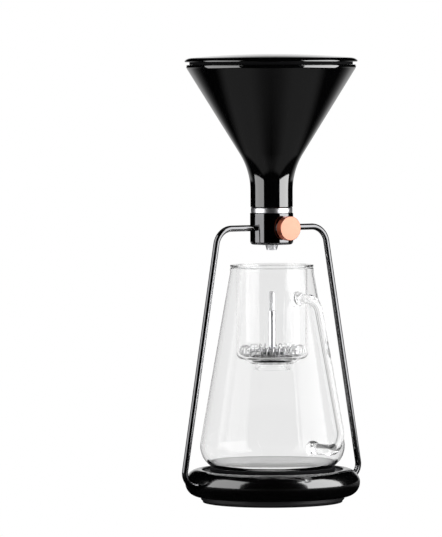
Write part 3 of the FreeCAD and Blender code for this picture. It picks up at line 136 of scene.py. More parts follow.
def aside(place):
    """How far a place or direction lies towards the camera, and how far to either side."""
    near, side = (
        place.node("ShaderNodeVectorMath", {"operation": "DOT_PRODUCT"}, {0: place, 1: way}, "Value")
        for way in (view_ahead, view_right)
    )
    return near, side.maths("ABSOLUTE", side)


card_slope, card_edge, card_top, card_level = -0.3, (-0.02, 0.03), (0.09, 0.2), 0.9
low_band, ahead_band, glass_level, glass_shade = (0.3, 0.5), (0.1, 0.5), 0.85, 0.83
sky = Signal(world_tree).node("ShaderNodeTexCoord", output="Generated")
near, side = aside(sky)
height = sky.node("ShaderNodeSeparateXYZ", inputs={0: sky}, output="Z")
card = (near * card_slope - side).between(*card_edge) * (1 - height.between(*card_top)) * card_level
low = 1 - height.maths("ABSOLUTE", height).between(*low_band)
level = share(sky, card, glass_level - near.between(*ahead_band) * low * glass_shade)
background = sky.node("ShaderNodeBackground", inputs={"Color": (1.0, 1.0, 1.0, 1.0), "Strength": level})
sky.node("ShaderNodeOutputWorld", inputs={"Surface": background})
scene.world.cycles.sampling_method = "NONE"

box_distance, box_low, box_high, box_width = 0.7, 0.01, 1.0, 0.74


def soft_box(name, turn, power):
    """A tall soft box at an angle from the camera about the maker, facing its axis."""
    light = bpy.data.lights.new(name, "AREA")
    light.shape = "RECTANGLE"
    light.size = box_width
    light.size_y = box_high - box_low
    light.energy = power
    box = bpy.data.objects.new(name, light)
    scene.collection.objects.link(box)
    away = view_ahead * math.cos(turn) + view_right * math.sin(turn)
    box.matrix_world = (
        Matrix.Translation(away * box_distance + Vector((0, 0, (box_low + box_high) / 2)))
        @ away.to_track_quat("Z", "Y").to_matrix().to_4x4()
    )
    box.visible_camera = False


soft_box("left_box", math.radians(-70), power=5.5)
soft_box("right_box", math.radians(72), power=11.3)

table_back, table_front, table_side, table_dark = (-0.4, -0.3), (0.35, 0.5), (0.36, 0.46), (0.10, 0.32)
table_level, table_glow, table_edge, grain_level = 0.04, 0.06, (0.04, 0.2), 0.02
far_card, far_side, far_level = (-0.3, -1.3), (1.2, 1.6), 0.6
floor_radius, floor_level, floor_fall, floor_shade = 14.0, 0.84, (0.2, 0.6), 0.5
floor_mesh = bpy.data.meshes.new("floor")
shape = bmesh.new()
bmesh.ops.create_circle(shape, cap_ends=True, radius=floor_radius, segments=96)
shape.to_mesh(floor_mesh)
shape.free()
floor = bpy.data.objects.new("floor", floor_mesh)
scene.collection.objects.link(floor)
floor_finish = bpy.data.materials.new("pale_floor")
floor_finish.use_nodes = True
floor_tree = floor_finish.node_tree
floor_tree.nodes.clear()
spot = Signal(floor_tree).node("ShaderNodeTexCoord", output="Object")
near, side = aside(spot)
table = near.between(*table_back) * (1 - near.between(*table_front)) * (1 - side.between(*table_side))
table = table * (near.maths("ABSOLUTE", near) + side).between(*table_dark)
card = near.between(*far_card) * (1 - side.between(*far_side)) * far_level
grain = spot.node("ShaderNodeTexNoise", inputs={"Vector": spot, "Scale": 90.0, "Detail": 3.0})
mirrored = card + table * (table_level + side.between(*table_edge) * table_glow + grain * grain_level)
level = share(spot, mirrored, floor_level - near.between(*floor_fall) * floor_shade)
shader = spot.node("ShaderNodeEmission", inputs={"Color": (1.0, 1.0, 1.0, 1.0), "Strength": level})
spot.node("ShaderNodeOutputMaterial", inputs={"Surface": shader})
floor_mesh.materials.append(floor_finish)


# Foot mat and bottom plate. A black silicone disc is glued under a heavy plate, over the heads of the screws
# that come up into the ring. Both are turned shapes, the mat with shallow grooves that grip the table.
MM = 0.001


def outline(corners, bend_step=6.0):
    """Corners (across, up, rounding) in millimetres as a line of points, each rounding drawn as an arc."""
    points = []
    closed = corners[0][:2] == corners[-1][:2]
    if closed:
        corners = corners[:-1]
    count = len(corners)
    for number, (across, up, *rounding) in enumerate(corners):
        here = Vector((across, up))
        if not rounding or (not closed and number in (0, count - 1)):
            points.append(here)
            continue
        before = Vector(corners[number - 1][:2])
        after = Vector(corners[(number + 1) % count][:2])
        back, ahead = (before - here).normalized(), (after - here).normalized()
        half = back.angle(ahead) / 2
        reach = rounding[0] / math.tan(half)
        centre = here + (back + ahead).normalized() * (rounding[0] / math.sin(half))
        start, end = here + back * reach - centre, here + ahead * reach - centre
        turn = start.angle_signed(end)
        steps = max(2, math.ceil(math.degrees(abs(turn)) / bend_step))
        for step in range(steps + 1):
            spun = Matrix.Rotation(-turn * step / steps, 2) @ start
            points.append(centre + spun)
    return points + points[:1] if closed else points


def grow(name, tree, inputs, source=None):
    """Runs a node tree on a mesh and keeps the result as a plain mesh."""
    thing = bpy.data.objects.new(name, source or bpy.data.meshes.new(name))
    scene.collection.objects.link(thing)
    modifier = thing.modifiers.new("grow", "NODES")
    modifier.node_group = tree
    for item in tree.interface.items_tree:
        if item.item_type == "SOCKET" and item.in_out == "INPUT" and item.name in inputs:
            modifier[item.identifier] = inputs[item.name]
    evaluated = thing.evaluated_get(bpy.context.evaluated_depsgraph_get())
    mesh = bpy.data.meshes.new_from_object(evaluated)
    mesh.name = name
    thing.modifiers.remove(modifier)
    thing.data = mesh
    return thing


def new_tree(name, inputs):
    """A geometry node tree with named inputs, and the signal that its nodes start from."""
    tree = bpy.data.node_groups.new(name, "GeometryNodeTree")
    kinds = {"Source": "NodeSocketGeometry", "Material": "NodeSocketMaterial"}
    for label, value in inputs.items():
        kind = kinds.get(label, "NodeSocketInt" if isinstance(value, int) else "NodeSocketFloat")
        socket = tree.interface.new_socket(label, in_out="INPUT", socket_type=kind)
        if label not in kinds:
            socket.default_value = value
    tree.interface.new_socket("Made", in_out="OUTPUT", socket_type="NodeSocketGeometry")
    entry = tree.nodes.new("NodeGroupInput")
    given = {label: Signal(tree, entry.outputs[label]) for label in inputs}
    return tree, given


def end_tree(made, material):
    """Ends a tree in plain geometry that carries its material."""
    real = made.node("GeometryNodeRealizeInstances", inputs={0: made})
    dressed = real.node("GeometryNodeSetMaterial", inputs={"Geometry": real, "Material": material})
    dressed.node("NodeGroupOutput", inputs={0: dressed})


seam_gap = 0.000002
lathe, given = new_tree("lathe", {"Source": None, "Steps": 180, "Material": None})
line = given["Source"]
count = line.node("GeometryNodeAttributeDomainSize", {"component": "MESH"}, {0: line}, output="Point Count")
sheet = line.node("GeometryNodeMeshGrid", inputs={"Vertices X": given["Steps"] + 1, "Vertices Y": count})
index = line.node("GeometryNodeInputIndex")
place = line.node("GeometryNodeInputPosition")
step = (index / count).maths("FLOOR", (index + 0.5) / count)
row = index - step * count
angle = step * (2 * math.pi) / given["Steps"]
stop = line.node("GeometryNodeSampleIndex", {"data_type": "FLOAT_VECTOR"}, {
    "Geometry": line, "Value": place, "Index": row,
})
across = stop.node("ShaderNodeSeparateXYZ", inputs={0: stop}, output="X")
up = stop.node("ShaderNodeSeparateXYZ", inputs={0: stop}, output="Z")
spun = stop.node("ShaderNodeCombineXYZ", inputs={
    0: across * angle.maths("COSINE", angle), 1: across * angle.maths("SINE", angle), 2: up,
})
wound = sheet.node("GeometryNodeSetPosition", inputs={"Geometry": sheet, "Position": spun})
merged = wound.node("GeometryNodeMergeByDistance", inputs={"Geometry": wound, "Distance": seam_gap})
smooth = merged.node("GeometryNodeSetShadeSmooth", inputs={0: merged})
end_tree(smooth, given["Material"])


def settle_faces(thing, crease=35.0):
    """Turns every face outwards and keeps the edges sharper than the crease as creases."""
    shape = bmesh.new()
    shape.from_mesh(thing.data)
    bmesh.ops.recalc_face_normals(shape, faces=shape.faces)
    shape.to_mesh(thing.data)
    shape.free()
    for face in thing.data.polygons:
        face.use_smooth = True
    thing.data.set_sharp_from_angle(angle=math.radians(crease))
    return thing


def turned(name, corners, material, steps=180, bend_step=6.0):
    """A piece turned about Z from its outline in millimetres."""
    mesh = bpy.data.meshes.new(name)
    points = [(p.x * MM, 0.0, p.y * MM) for p in outline(corners, bend_step)]
    mesh.from_pydata(points, [(n, n + 1) for n in range(len(points) - 1)], [])
    return settle_faces(grow(name, lathe, {"Steps": steps, "Material": material}, mesh))


def finish(name, fixed, varied):
    """A material: fixed values of its shader, and what varied makes of the place on the piece."""
    material = bpy.data.materials.new(name)
    material.use_nodes = True
    material.node_tree.nodes.clear()
    place = Signal(material.node_tree).node("ShaderNodeTexCoord", output="Object")
    shader = place.node("ShaderNodeBsdfPrincipled", inputs={**fixed, **varied(place)})
    place.node("ShaderNodeOutputMaterial", inputs={"Surface": shader})
    return material


def noise(place, scale, detail=3.0):
    return place.node("ShaderNodeTexNoise", inputs={"Vector": place, "Scale": scale, "Detail": detail})


def bumped(height, depth):
    return height.node("ShaderNodeBump", inputs={"Strength": 1.0, "Distance": depth, "Height": height})


def dress(node, material):
    """Gives a carried-over node its finish."""
    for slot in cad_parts[node].material_slots:
        slot.material = material


def silicone_look(place):
    dust = noise(place, 900.0, 4.0)
    mottle = noise(place, 60.0, 2.0)
    return {
        "Base Color": mottle.blend((0.004, 0.004, 0.0045, 1.0), (0.009, 0.009, 0.0095, 1.0)),
        "Roughness": 0.52 + dust * 0.2,
        "Normal": bumped(dust, 0.00004),
    }


def coated_steel_look(place):
    peel = noise(place, 700.0, 2.0)
    return {
        "Base Color": noise(place, 40.0).blend((0.010, 0.010, 0.011, 1.0), (0.018, 0.018, 0.019, 1.0)),
        "Roughness": 0.3 + peel * 0.15,
        "Normal": bumped(peel, 0.00003),
    }


silicone = finish("dark_silicone", {"Specular IOR Level": 0.01}, silicone_look)
coated_steel = finish("coated_steel", {"Specular IOR Level": 0.4}, coated_steel_look)

mat_across, mat_high, mat_grooves = 59.2, 1.2, (12.0, 20.0, 28.0, 36.0, 44.0, 52.0)
groove_width, groove_flank, groove_depth = 2.0, 0.4, 0.5
mat_corners = [(0, 0), (8.0, 0)]
for groove in mat_grooves:
    mat_corners += [
        (groove, 0), (groove + groove_flank, groove_depth),
        (groove + groove_width - groove_flank, groove_depth), (groove + groove_width, 0),
    ]
mat_corners += [(mat_across, 0, 0.3), (mat_across, mat_high, 0.2), (0, mat_high)]
foot = turned("grooved_mat", mat_corners, silicone, steps=120)
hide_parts("foot_mat")
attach(foot, "stand")
dress("bottom_plate", coated_steel)


# Ring of the base. A glossy black shell with a round section, open to the inside, which hides the scale's
# parts. It is sprayed and baked, so its gloss has the faint ripple of such a coat.
def gloss_look(place):
    ripple = noise(place, 260.0, 2.0)
    wear = noise(place, 35.0, 4.0)
    return {
        "Base Color": wear.blend((0.0004, 0.0004, 0.00045, 1.0), (0.0009, 0.0009, 0.001, 1.0)),
        "Roughness": 0.035 + wear * 0.05,
        "Normal": bumped(ripple, 0.000004),
    }


def baked_look(place):
    looks = gloss_look(place)
    looks["Roughness"] = 0.10 + noise(place, 35.0, 4.0) * 0.06
    return looks


black_gloss = finish("black_gloss_coat", {"IOR": 2.0}, gloss_look)
dress("base_shell", finish("baked_gloss_coat", {"IOR": 2.0}, baked_look))


# Platform of the scale, a dark pan that floats in the ring, and the raised soft pad on it that the carafe
# stands on. The pad is moulded with fine rings.
def satin_look(place):
    grain = noise(place, 1400.0, 3.0)
    return {
        "Base Color": noise(place, 30.0).blend((0.012, 0.012, 0.014, 1.0), (0.02, 0.02, 0.022, 1.0)),
        "Roughness": 0.34 + grain * 0.16,
        "Normal": bumped(grain, 0.00002),
    }


satin_black = finish("satin_black", {"Specular IOR Level": 0.45}, satin_look)
dress("scale_platform", satin_black)
dress("power_button", satin_black)
dress("button_switch", satin_black)

pad_low, pad_high, pad_across = 26.376, 29.576, 53.0
ring_count, ring_first, ring_pitch, ring_half, ring_depth = 12, 49.5, 4.0, 0.4, 0.35
pad_corners = [(0, pad_low), (pad_across, pad_low, 0.2), (pad_across, pad_high, 1.0)]
for number in range(ring_count):
    edge = ring_first - number * ring_pitch
    pad_corners += [
        (edge, pad_high, 0.1), (edge - ring_half, pad_high - ring_depth, 0.1),
        (edge - 2 * ring_half, pad_high, 0.1),
    ]
pad_corners.append((0, pad_high))
pad = turned("ringed_pad", pad_corners, silicone, steps=180, bend_step=12.0)
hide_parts("platform_pad")
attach(pad, "stand")


# Scale inside the base: an aluminium bending beam on spacers, the board with its charging socket and button
# switch, the battery, and the clamps and screws that hold it all. Little of it is seen with the base closed.
def steel_look(place):
    brushed = noise(place, 500.0, 5.0)
    return {
        "Base Color": brushed.blend((0.42, 0.42, 0.43, 1.0), (0.60, 0.60, 0.61, 1.0)),
        "Roughness": 0.22 + brushed * 0.2,
        "Normal": bumped(brushed, 0.00001),
    }


def aluminium_look(place):
    brushed = noise(place, 900.0, 4.0)
    return {
        "Base Color": brushed.blend((0.62, 0.62, 0.64, 1.0), (0.76, 0.76, 0.78, 1.0)),
        "Roughness": 0.34 + brushed * 0.2,
        "Normal": bumped(brushed, 0.00001),
    }


def board_look(place):
    tracks = place.node("ShaderNodeTexBrick", inputs={
        "Vector": place, "Scale": 300.0, "Mortar Size": 0.06, "Mortar": (0.03, 0.2, 0.1, 1.0),
        "Color1": (0.012, 0.12, 0.06, 1.0), "Color2": (0.014, 0.15, 0.075, 1.0),
    }, output="Color")
    return {"Base Color": tracks, "Roughness": 0.3 + noise(place, 300.0) * 0.15}


def foil_look(place):
    creases = noise(place, 220.0, 3.0)
    return {
        "Base Color": creases.blend((0.20, 0.26, 0.36, 1.0), (0.32, 0.38, 0.46, 1.0)),
        "Roughness": 0.3 + creases * 0.2,
        "Normal": bumped(creases, 0.0001),
    }


satin_steel = finish("satin_steel", {"Metallic": 1.0}, steel_look)
aluminium = finish("machined_aluminium", {"Metallic": 1.0}, aluminium_look)
board_green = finish("board_green", {}, board_look)
battery_foil = finish("battery_foil", {"Metallic": 0.4}, foil_look)
for node in ("load_cell", "cell_spacers", "board_standoffs"):
    dress(node, aluminium)
for node in ("base_screws", "cell_screws", "rod_clamps", "clamp_screws", "rod_screws", "charge_socket"):
    dress(node, satin_steel)
dress("circuit_board", board_green)
dress("battery", battery_foil)


# Rods. Two bent round bars, black-chromed, level out of the valve body, down and outwards, and level into the
# sides of the ring, where clamps inside hold them.
def dark_chrome_look(place):
    haze = noise(place, 120.0, 4.0)
    return {
        "Base Color": haze.blend((0.115, 0.115, 0.118, 1.0), (0.145, 0.145, 0.149, 1.0)),
        "Roughness": 0.05 + haze * 0.05,
        "Normal": bumped(noise(place, 500.0, 2.0), 0.000002),
    }


black_chrome = finish("black_chrome", {"Metallic": 1.0}, dark_chrome_look)

bar, given = new_tree("bar", {"Source": None, "Radius": 0.0026, "Sides": 40, "Material": None})
line = given["Source"].node("GeometryNodeMeshToCurve", inputs={0: given["Source"]})
section = line.node(
    "GeometryNodeCurvePrimitiveCircle", inputs={"Resolution": given["Sides"], "Radius": given["Radius"]},
)
drawn = line.node("GeometryNodeCurveToMesh", inputs={0: line, 1: section, "Fill Caps": True})
end_tree(drawn.node("GeometryNodeSetShadeSmooth", inputs={0: drawn}), given["Material"])

rod_top, rod_foot, top_bend, foot_bend = 232.5, 16.5, 15.2, 11.8
rod_start, rod_shoulder, rod_widest, rod_end = 9.5, 53.5, 90.1, 42.0
for side, node in ((-1, "left_rod"), (1, "right_rod")):
    path = outline([
        (rod_start, rod_top), (rod_shoulder, rod_top, top_bend), (rod_widest, rod_foot, foot_bend),
        (rod_end, rod_foot),
    ], bend_step=4.0)
    mesh = bpy.data.meshes.new(node)
    mesh.from_pydata(
        [(side * p.x * MM, 0.0, p.y * MM) for p in path], [(n, n + 1) for n in range(len(path) - 1)], [],
    )
    rod = settle_faces(grow(f"bent_{node}", bar, {"Material": black_chrome}, mesh))
    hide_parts(node)
    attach(rod, "stand")


# Valve body, a black-chromed cylinder between the rods, with the gland nut that holds its plug and the
# lathed steel nozzle pressed in from below.
def polished_look(place):
    haze = noise(place, 150.0, 4.0)
    return {
        "Base Color": haze.blend((0.66, 0.66, 0.68, 1.0), (0.76, 0.76, 0.78, 1.0)),
        "Roughness": 0.05 + haze * 0.07,
        "Normal": bumped(noise(place, 700.0, 2.0), 0.000002),
    }


def lathed_look(place):
    looks = polished_look(place)
    looks["Roughness"] = 0.24 + noise(place, 150.0, 4.0) * 0.12
    return looks


polished_steel = finish("polished_steel", {"Metallic": 1.0}, polished_look)
lathed_steel = finish("lathed_steel", {"Metallic": 1.0}, lathed_look)
for node in ("valve_body", "gland_nut"):
    dress(node, black_chrome)
dress("valve_plug", polished_steel)
dress("plug_rings", silicone)

valve_low = 218.2
nozzle_low, nozzle_high = valve_low - 4.7, valve_low + 5.0
nozzle_bore, nozzle_tip, nozzle_brim, nozzle_stem = 1.6, 4.3, 5.6, 3.9
nozzle = turned("turned_nozzle", [
    (nozzle_bore, nozzle_low, 0.2), (nozzle_tip, nozzle_low, 0.8), (nozzle_brim, valve_low),
    (nozzle_stem, valve_low), (nozzle_stem, nozzle_high), (nozzle_bore, nozzle_high),
    (nozzle_bore, nozzle_low),
], lathed_steel, steps=96)
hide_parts("drip_nozzle")
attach(nozzle, "stand")


# Knob. A turned copper disc with a satin face and a small grub screw below that holds it on its spindle.
knob_height, knob_front, knob_back, knob_across, knob_edge = 0.2325, 29.1, 22.8, 10.25, 0.6
spindle_across, spindle_end = 3.05, 27.05
# Depths along the knob's axis where the face ends and where the side's painted shade begins.
face_end, painted_shade_start = -0.0289, -0.0285


def copper_look(place):
    centred = place.node("ShaderNodeMapping", {"vector_type": "POINT"}, {
        "Vector": place, "Location": (0.0, 0.0, -knob_height),
    })
    x, z = (centred.node("ShaderNodeSeparateXYZ", inputs={0: centred}, output=letter) for letter in "XZ")
    from_axis = (x * x + z * z).maths("SQRT", x * x + z * z)
    lines = noise(centred.node("ShaderNodeCombineXYZ", inputs={0: from_axis}), 9000.0, 2.0)
    tint = noise(place, 260.0, 3.0)
    face = tint.blend((0.37, 0.17, 0.12, 1.0), (0.41, 0.195, 0.14, 1.0))
    depth = place.node("ShaderNodeSeparateXYZ", inputs={0: place}, output="Y")
    return {
        # Painted shade: the knob's rounded edge and side are a darker red-brown than its face, which keeps
        # the copper's own tone.
        "Base Color": depth.between(face_end, painted_shade_start).blend(face, (0.42, 0.10, 0.05, 1.0)),
        "Roughness": 0.36 + lines * 0.12,
        "Normal": bumped(lines, 0.000006),
    }


copper = finish("satin_copper", {"Metallic": 1.0}, copper_look)
knob = turned("copper_knob", [
    (0, knob_front), (knob_across, knob_front, knob_edge), (knob_across, knob_back, knob_edge),
    (spindle_across, knob_back), (spindle_across, spindle_end), (0, spindle_end),
], copper, steps=128)
knob.data.transform(Matrix.Translation((0, 0, knob_height)) @ Matrix.Rotation(math.radians(90), 4, "X"))
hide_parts("valve_knob")
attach(knob, "valve")
dress("knob_screw", satin_steel)


# Coupling and funnel. The lathed steel collar is pressed into the funnel's neck and drops into the valve
# body. The funnel is coated glossy black inside and out, and its rim stands upright.
collar_foot, seal_low, seal_high, collar_low = 240.2, 242.0, 243.4, 245.2
funnel_low, collar_top = 249.2, 257.2
collar_bore, seal_seat, spigot, band, sleeve, collar_edge = 9.0, 11.1, 12.5, 17.6, 12.35, 0.3
collar = turned("polished_collar", [
    (collar_bore, collar_foot, collar_edge), (spigot, collar_foot, collar_edge), (spigot, seal_low),
    (seal_seat, seal_low), (seal_seat, seal_high), (spigot, seal_high), (spigot, collar_low),
    (band, collar_low, 0.25), (band, funnel_low, 0.25), (sleeve, funnel_low),
    (sleeve, collar_top, collar_edge), (collar_bore, collar_top, collar_edge), (collar_bore, collar_foot),
], lathed_steel, steps=160)
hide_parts("coupling_collar")
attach(collar, "funnel_unit")
dress("neck_seal", silicone)

rim, funnel_turn, funnel_wall = 370.2, math.radians(31.75), 4.4
slope = math.tan(funnel_turn)
mouth, wall_across = 73.3, funnel_wall / math.cos(funnel_turn)
neck, bore, rim_across, neck_bend, rim_bend = 17.9, 12.4, 71.85, 60.0, 5.0
cone = turned("glossy_funnel", [
    (bore, funnel_low), (neck, funnel_low, 1.3), (neck, rim - (mouth - neck) / slope, neck_bend),
    (rim_across, rim - (mouth - rim_across) / slope, rim_bend), (rim_across, rim, 0.8),
    (mouth - wall_across, rim, 0.4),
    (bore, rim - (mouth - bore - wall_across) / slope, neck_bend - funnel_wall), (bore, funnel_low),
], black_gloss, steps=256, bend_step=2.0)
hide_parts("funnel")
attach(cone, "funnel_unit")


# Lid. A shallow glossy dome with a rounded edge and a ring that drops inside the rim, on a soft seal that
# leaves a thin shadow line under the edge.
lid_low, lid_tip, lid_top, lid_ring_low = 372.5, 373.3, 379.2, rim - 5.0
lid_across, shoulder, ring_across, ring_wall = 73.2, 68.3, 64.4, 2.2
dome_radius, dome_wall, shoulder_bend, lip_bend, lip_tuck = 750.0, 2.8, 8.1, 1.2, 0.4


def dome(across, drop=0.0):
    """Height of the dome's outer face, or of a face that lies a wall below it."""
    return lid_top - dome_radius + math.sqrt((dome_radius - drop) ** 2 - across ** 2)


def roll(start, end, radius, steps=8):
    """Points of an outward bulging arc between two points, without the first."""
    chord = Vector(end) - Vector(start)
    inward = Vector((chord.y, -chord.x)).normalized() * math.sqrt(radius ** 2 - (chord.length / 2) ** 2)
    centre = Vector(start) + chord / 2 + inward
    first = Vector(start) - centre
    turn = first.angle_signed(Vector(end) - centre)
    return [tuple(centre + Matrix.Rotation(-turn * step / steps, 2) @ first) for step in range(1, steps + 1)]


tip_turn = math.radians(40)
tip_start = (lid_across - lip_bend * (1 - math.sin(tip_turn)), lid_tip + lip_bend * math.cos(tip_turn))
lid_inner, dome_steps, inner_steps = ring_across - ring_wall, 12, 10
outer_stops = [shoulder * step / dome_steps for step in range(dome_steps + 1)]
inner_stops = [lid_inner * step / inner_steps for step in range(inner_steps, -1, -1)]
lid = turned("domed_lid", [
    *((stop, dome(stop)) for stop in outer_stops),
    *roll((shoulder, dome(shoulder)), tip_start, shoulder_bend),
    *roll(tip_start, (lid_across, lid_tip), lip_bend),
    (lid_across - lip_tuck, lid_low, 0.2), (ring_across, lid_low), (ring_across, lid_ring_low, 0.4),
    (lid_inner, lid_ring_low, 0.4), *((stop, dome(stop, dome_wall)) for stop in inner_stops),
], black_gloss, steps=256)
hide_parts("lid")
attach(lid, "lid_unit")
dress("lid_seal", silicone)


# Carafe. Blown borosilicate glass with a thick floor, a rounded heel and a fire-polished rim, all of one
# piece. Its handle is a bent glass rod, fused on. Lamps shine through both without a dark shadow.
def glass_finish(name, index, ripple_depth):
    """Clear glass with the faint waviness of its making."""
    material = bpy.data.materials.new(name)
    material.use_nodes = True
    material.node_tree.nodes.clear()
    place = Signal(material.node_tree).node("ShaderNodeTexCoord", output="Object")
    ripple = noise(place, 38.0, 1.0)
    glass = place.node("ShaderNodeBsdfPrincipled", inputs={
        "Base Color": (1.0, 1.0, 1.0, 1.0), "Roughness": 0.0, "IOR": index, "Transmission Weight": 1.0,
        "Normal": bumped(ripple, ripple_depth),
    })
    clear = place.node("ShaderNodeBsdfTransparent", inputs={"Color": (0.975, 0.978, 0.978, 1.0)})
    lamp = place.node("ShaderNodeLightPath", output="Is Shadow Ray")
    both = place.node("ShaderNodeMixShader", inputs={0: lamp, 1: glass, 2: clear})
    place.node("ShaderNodeOutputMaterial", inputs={"Surface": both})
    return material


blown_glass = glass_finish("blown_glass", 1.22, 0.00006)
jug_low, floor_high, lip_low, jug_high = 29.676, 33.876, 194.476, 198.576
foot_across, floor_across, lip_across, mouth_across, lip_edge = 50.5, 52.71, 35.4, 33.2, 0.9
heel, heel_inside, lip_inside = (63.38, 37.385, 20.4), (60.565, 40.647, 18.1), (mouth_across, 194.28, 11.2)
jug = turned("blown_carafe", [
    (0, jug_low), (foot_across, jug_low, 1.5), heel, (lip_across, lip_low, 9.0),
    (lip_across, jug_high, lip_edge), (mouth_across, jug_high, lip_edge), lip_inside, heel_inside,
    (floor_across, floor_high), (0, floor_high),
], blown_glass, steps=256, bend_step=3.0)
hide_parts("carafe")
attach(jug, "carafe_unit")
dress("carafe_handle", glass_finish("rod_glass", 1.34, 0.00003))


# Drip chamber. A straight glass cylinder that hangs by its flange in the carafe's mouth, with a well in its
# floor and a short outlet below. A clear silicone ring under the flange keeps glass off glass.
tube_glass = glass_finish("tube_glass", 1.2, 0.00002)
flange_low, flange_high, chamber_low = 199.376, 201.176, 121.076
well_low, outlet_low, floor_wall, soft_edge = chamber_low - 3.5, chamber_low - 8.9, 2.2, 0.7
outlet_bore, outlet_across, bead_across, bead_edge = 12.7, 14.7, 15.4, 0.35
bead_high, outlet_shoulder = outlet_low + 1.4, outlet_low + 2.1
well_bore, well_across, step_bore, step_across, well_edge = 17.6, 18.7, 23.0, 24.1, 1.4
tube_bore, tube_across, flange_across, tube_heel, tube_heel_inside = 28.6, 30.4, 35.3, 5.6, 3.8
chamber = turned("glass_chamber", [
    (outlet_bore, outlet_low, 0.5), (bead_across, outlet_low, bead_edge),
    (bead_across, bead_high, bead_edge), (outlet_across, outlet_shoulder),
    (outlet_across, well_low, soft_edge), (well_across, well_low, well_edge),
    (step_across, chamber_low, well_edge), (tube_across, chamber_low, tube_heel),
    (tube_across, flange_low, soft_edge), (flange_across, flange_low, soft_edge),
    (flange_across, flange_high, soft_edge), (tube_bore, flange_high, soft_edge),
    (tube_bore, chamber_low + floor_wall, tube_heel_inside), (step_bore, chamber_low + floor_wall, soft_edge),
    (well_bore, well_low + floor_wall, soft_edge), (outlet_bore, well_low + floor_wall, soft_edge),
    (outlet_bore, outlet_low),
], tube_glass, steps=224, bend_step=4.0)
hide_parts("drip_chamber")
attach(chamber, "chamber_unit")


def clear_rubber_look(place):
    return {"Roughness": 0.3 + noise(place, 400.0) * 0.15, "Base Color": noise(place, 50.0).blend(
        (0.82, 0.83, 0.83, 1.0), (0.9, 0.9, 0.9, 1.0),
    )}


clear_rubber = finish("clear_silicone", {"Transmission Weight": 0.85, "IOR": 1.41}, clear_rubber_look)
dress("chamber_seat_ring", clear_rubber)


# Filter stack. A dark seal in the well, a mesh woven of fine wire and bound in a rim, a turned hub on it,
# a drilled and notched disc, and the wire coil round its edge that wipes the chamber's wall.
def grainy_look(place):
    grain = noise(place, 2600.0, 2.0)
    return {
        "Base Color": grain.between(0.35, 0.65).blend((0.06, 0.06, 0.062, 1.0), (0.40, 0.40, 0.41, 1.0)),
        "Roughness": 0.42 + grain * 0.2,
        "Normal": bumped(grain, 0.00004),
    }


def wire_look(place):
    drawn = noise(place, 400.0, 3.0)
    return {
        "Base Color": drawn.blend((0.46, 0.46, 0.465, 1.0), (0.62, 0.62, 0.625, 1.0)),
        "Roughness": 0.08 + drawn * 0.08,
    }


grainy_steel = finish("grainy_steel", {"Metallic": 1.0}, grainy_look)
spring_steel = finish("spring_steel", {"Metallic": 1.0}, wire_look)


def knurled_look(place):
    looks = grainy_look(place)
    grain = noise(place, 2600.0, 2.0)
    looks["Base Color"] = grain.between(0.35, 0.65).blend((0.16, 0.16, 0.165, 1.0), (0.75, 0.75, 0.76, 1.0))
    return looks


knurled_steel = finish("knurled_steel", {"Metallic": 1.0}, knurled_look)
for node in ("filter_hub", "filter_disc"):
    dress(node, grainy_steel)
for node in ("filter_washer", "filter_nut"):
    dress(node, satin_steel)
dress("filter_seal", silicone)

weave, given = new_tree("weave", {
    "Source": None, "Wires": 35, "Pitch": 0.001, "Across": 0.0166, "Hole": 0.0023, "Wire": 0.0001,
    "Swell": 0.00009, "Height": 0.122476, "Material": None,
})


def strands(across, along, swell):
    """Wires side by side along one axis, each wavy over and under the ones that cross it."""
    start = given["Wires"]
    fine = (start - 1) * 4 + 1
    width = (start - 1) * given["Pitch"]
    sheet = start.node("GeometryNodeMeshGrid", inputs={
        "Size X": width, "Size Y": width, f"Vertices {across}": start, f"Vertices {along}": fine,
    })
    ends = [start.node("GeometryNodeInputMeshEdgeVertices", output=f"Position {end}") for end in (1, 2)]
    first, second = (end.node("ShaderNodeSeparateXYZ", inputs={0: end}, output=across) for end in ends)
    span = (first - second).maths("ABSOLUTE", first - second)
    lines = start.node("GeometryNodeDeleteGeometry", {"domain": "EDGE", "mode": "EDGE_FACE"}, {
        "Geometry": sheet, "Selection": span.maths("GREATER_THAN", span, given["Pitch"] * 0.5),
    })
    place = start.node("GeometryNodeInputPosition")
    x, y = (place.node("ShaderNodeSeparateXYZ", inputs={0: place}, output=letter) for letter in "XY")
    waves = [part.maths("COSINE", part * math.pi / given["Pitch"]) for part in (x, y)]
    up = given["Height"] + waves[0] * waves[1] * swell
    wavy = start.node("ShaderNodeCombineXYZ", inputs={0: x, 1: y, 2: up})
    wavy = start.node("GeometryNodeSetPosition", inputs={"Geometry": lines, "Position": wavy})
    reach = (x * x + y * y).maths("SQRT", x * x + y * y)
    off = reach.maths("GREATER_THAN", reach, given["Across"]) + reach.maths("LESS_THAN", reach, given["Hole"])
    kept = start.node("GeometryNodeDeleteGeometry", {"domain": "POINT"}, {"Geometry": wavy, "Selection": off})
    drawn = start.node("GeometryNodeMeshToCurve", inputs={0: kept})
    section = start.node("GeometryNodeCurvePrimitiveCircle", inputs={
        "Resolution": 6, "Radius": given["Wire"],
    })
    return start.node("GeometryNodeCurveToMesh", inputs={0: drawn, 1: section, "Fill Caps": True})


woven = given["Wires"].node("GeometryNodeJoinGeometry", inputs={0: strands("X", "Y", given["Swell"])})
for part in (strands("Y", "X", given["Swell"] * -1), given["Source"]):
    woven.tree.links.new(part.socket, woven.socket.node.inputs[0])
end_tree(woven.node("GeometryNodeSetShadeSmooth", inputs={0: woven}), given["Material"])
binding_inner, binding_outer, binding_low, binding_high, binding_edge = 16.2, 17.0, 122.3, 122.65, 0.1
binding = turned("mesh_binding", [
    (binding_inner, binding_low, binding_edge), (binding_outer, binding_low, binding_edge),
    (binding_outer, binding_high, binding_edge), (binding_inner, binding_high, binding_edge),
    (binding_inner, binding_low),
], spring_steel, steps=96)
screen = settle_faces(grow("woven_screen", weave, {"Material": spring_steel}, binding.data))
bpy.data.objects.remove(binding)
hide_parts("filter_mesh")
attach(screen, "filter_unit")

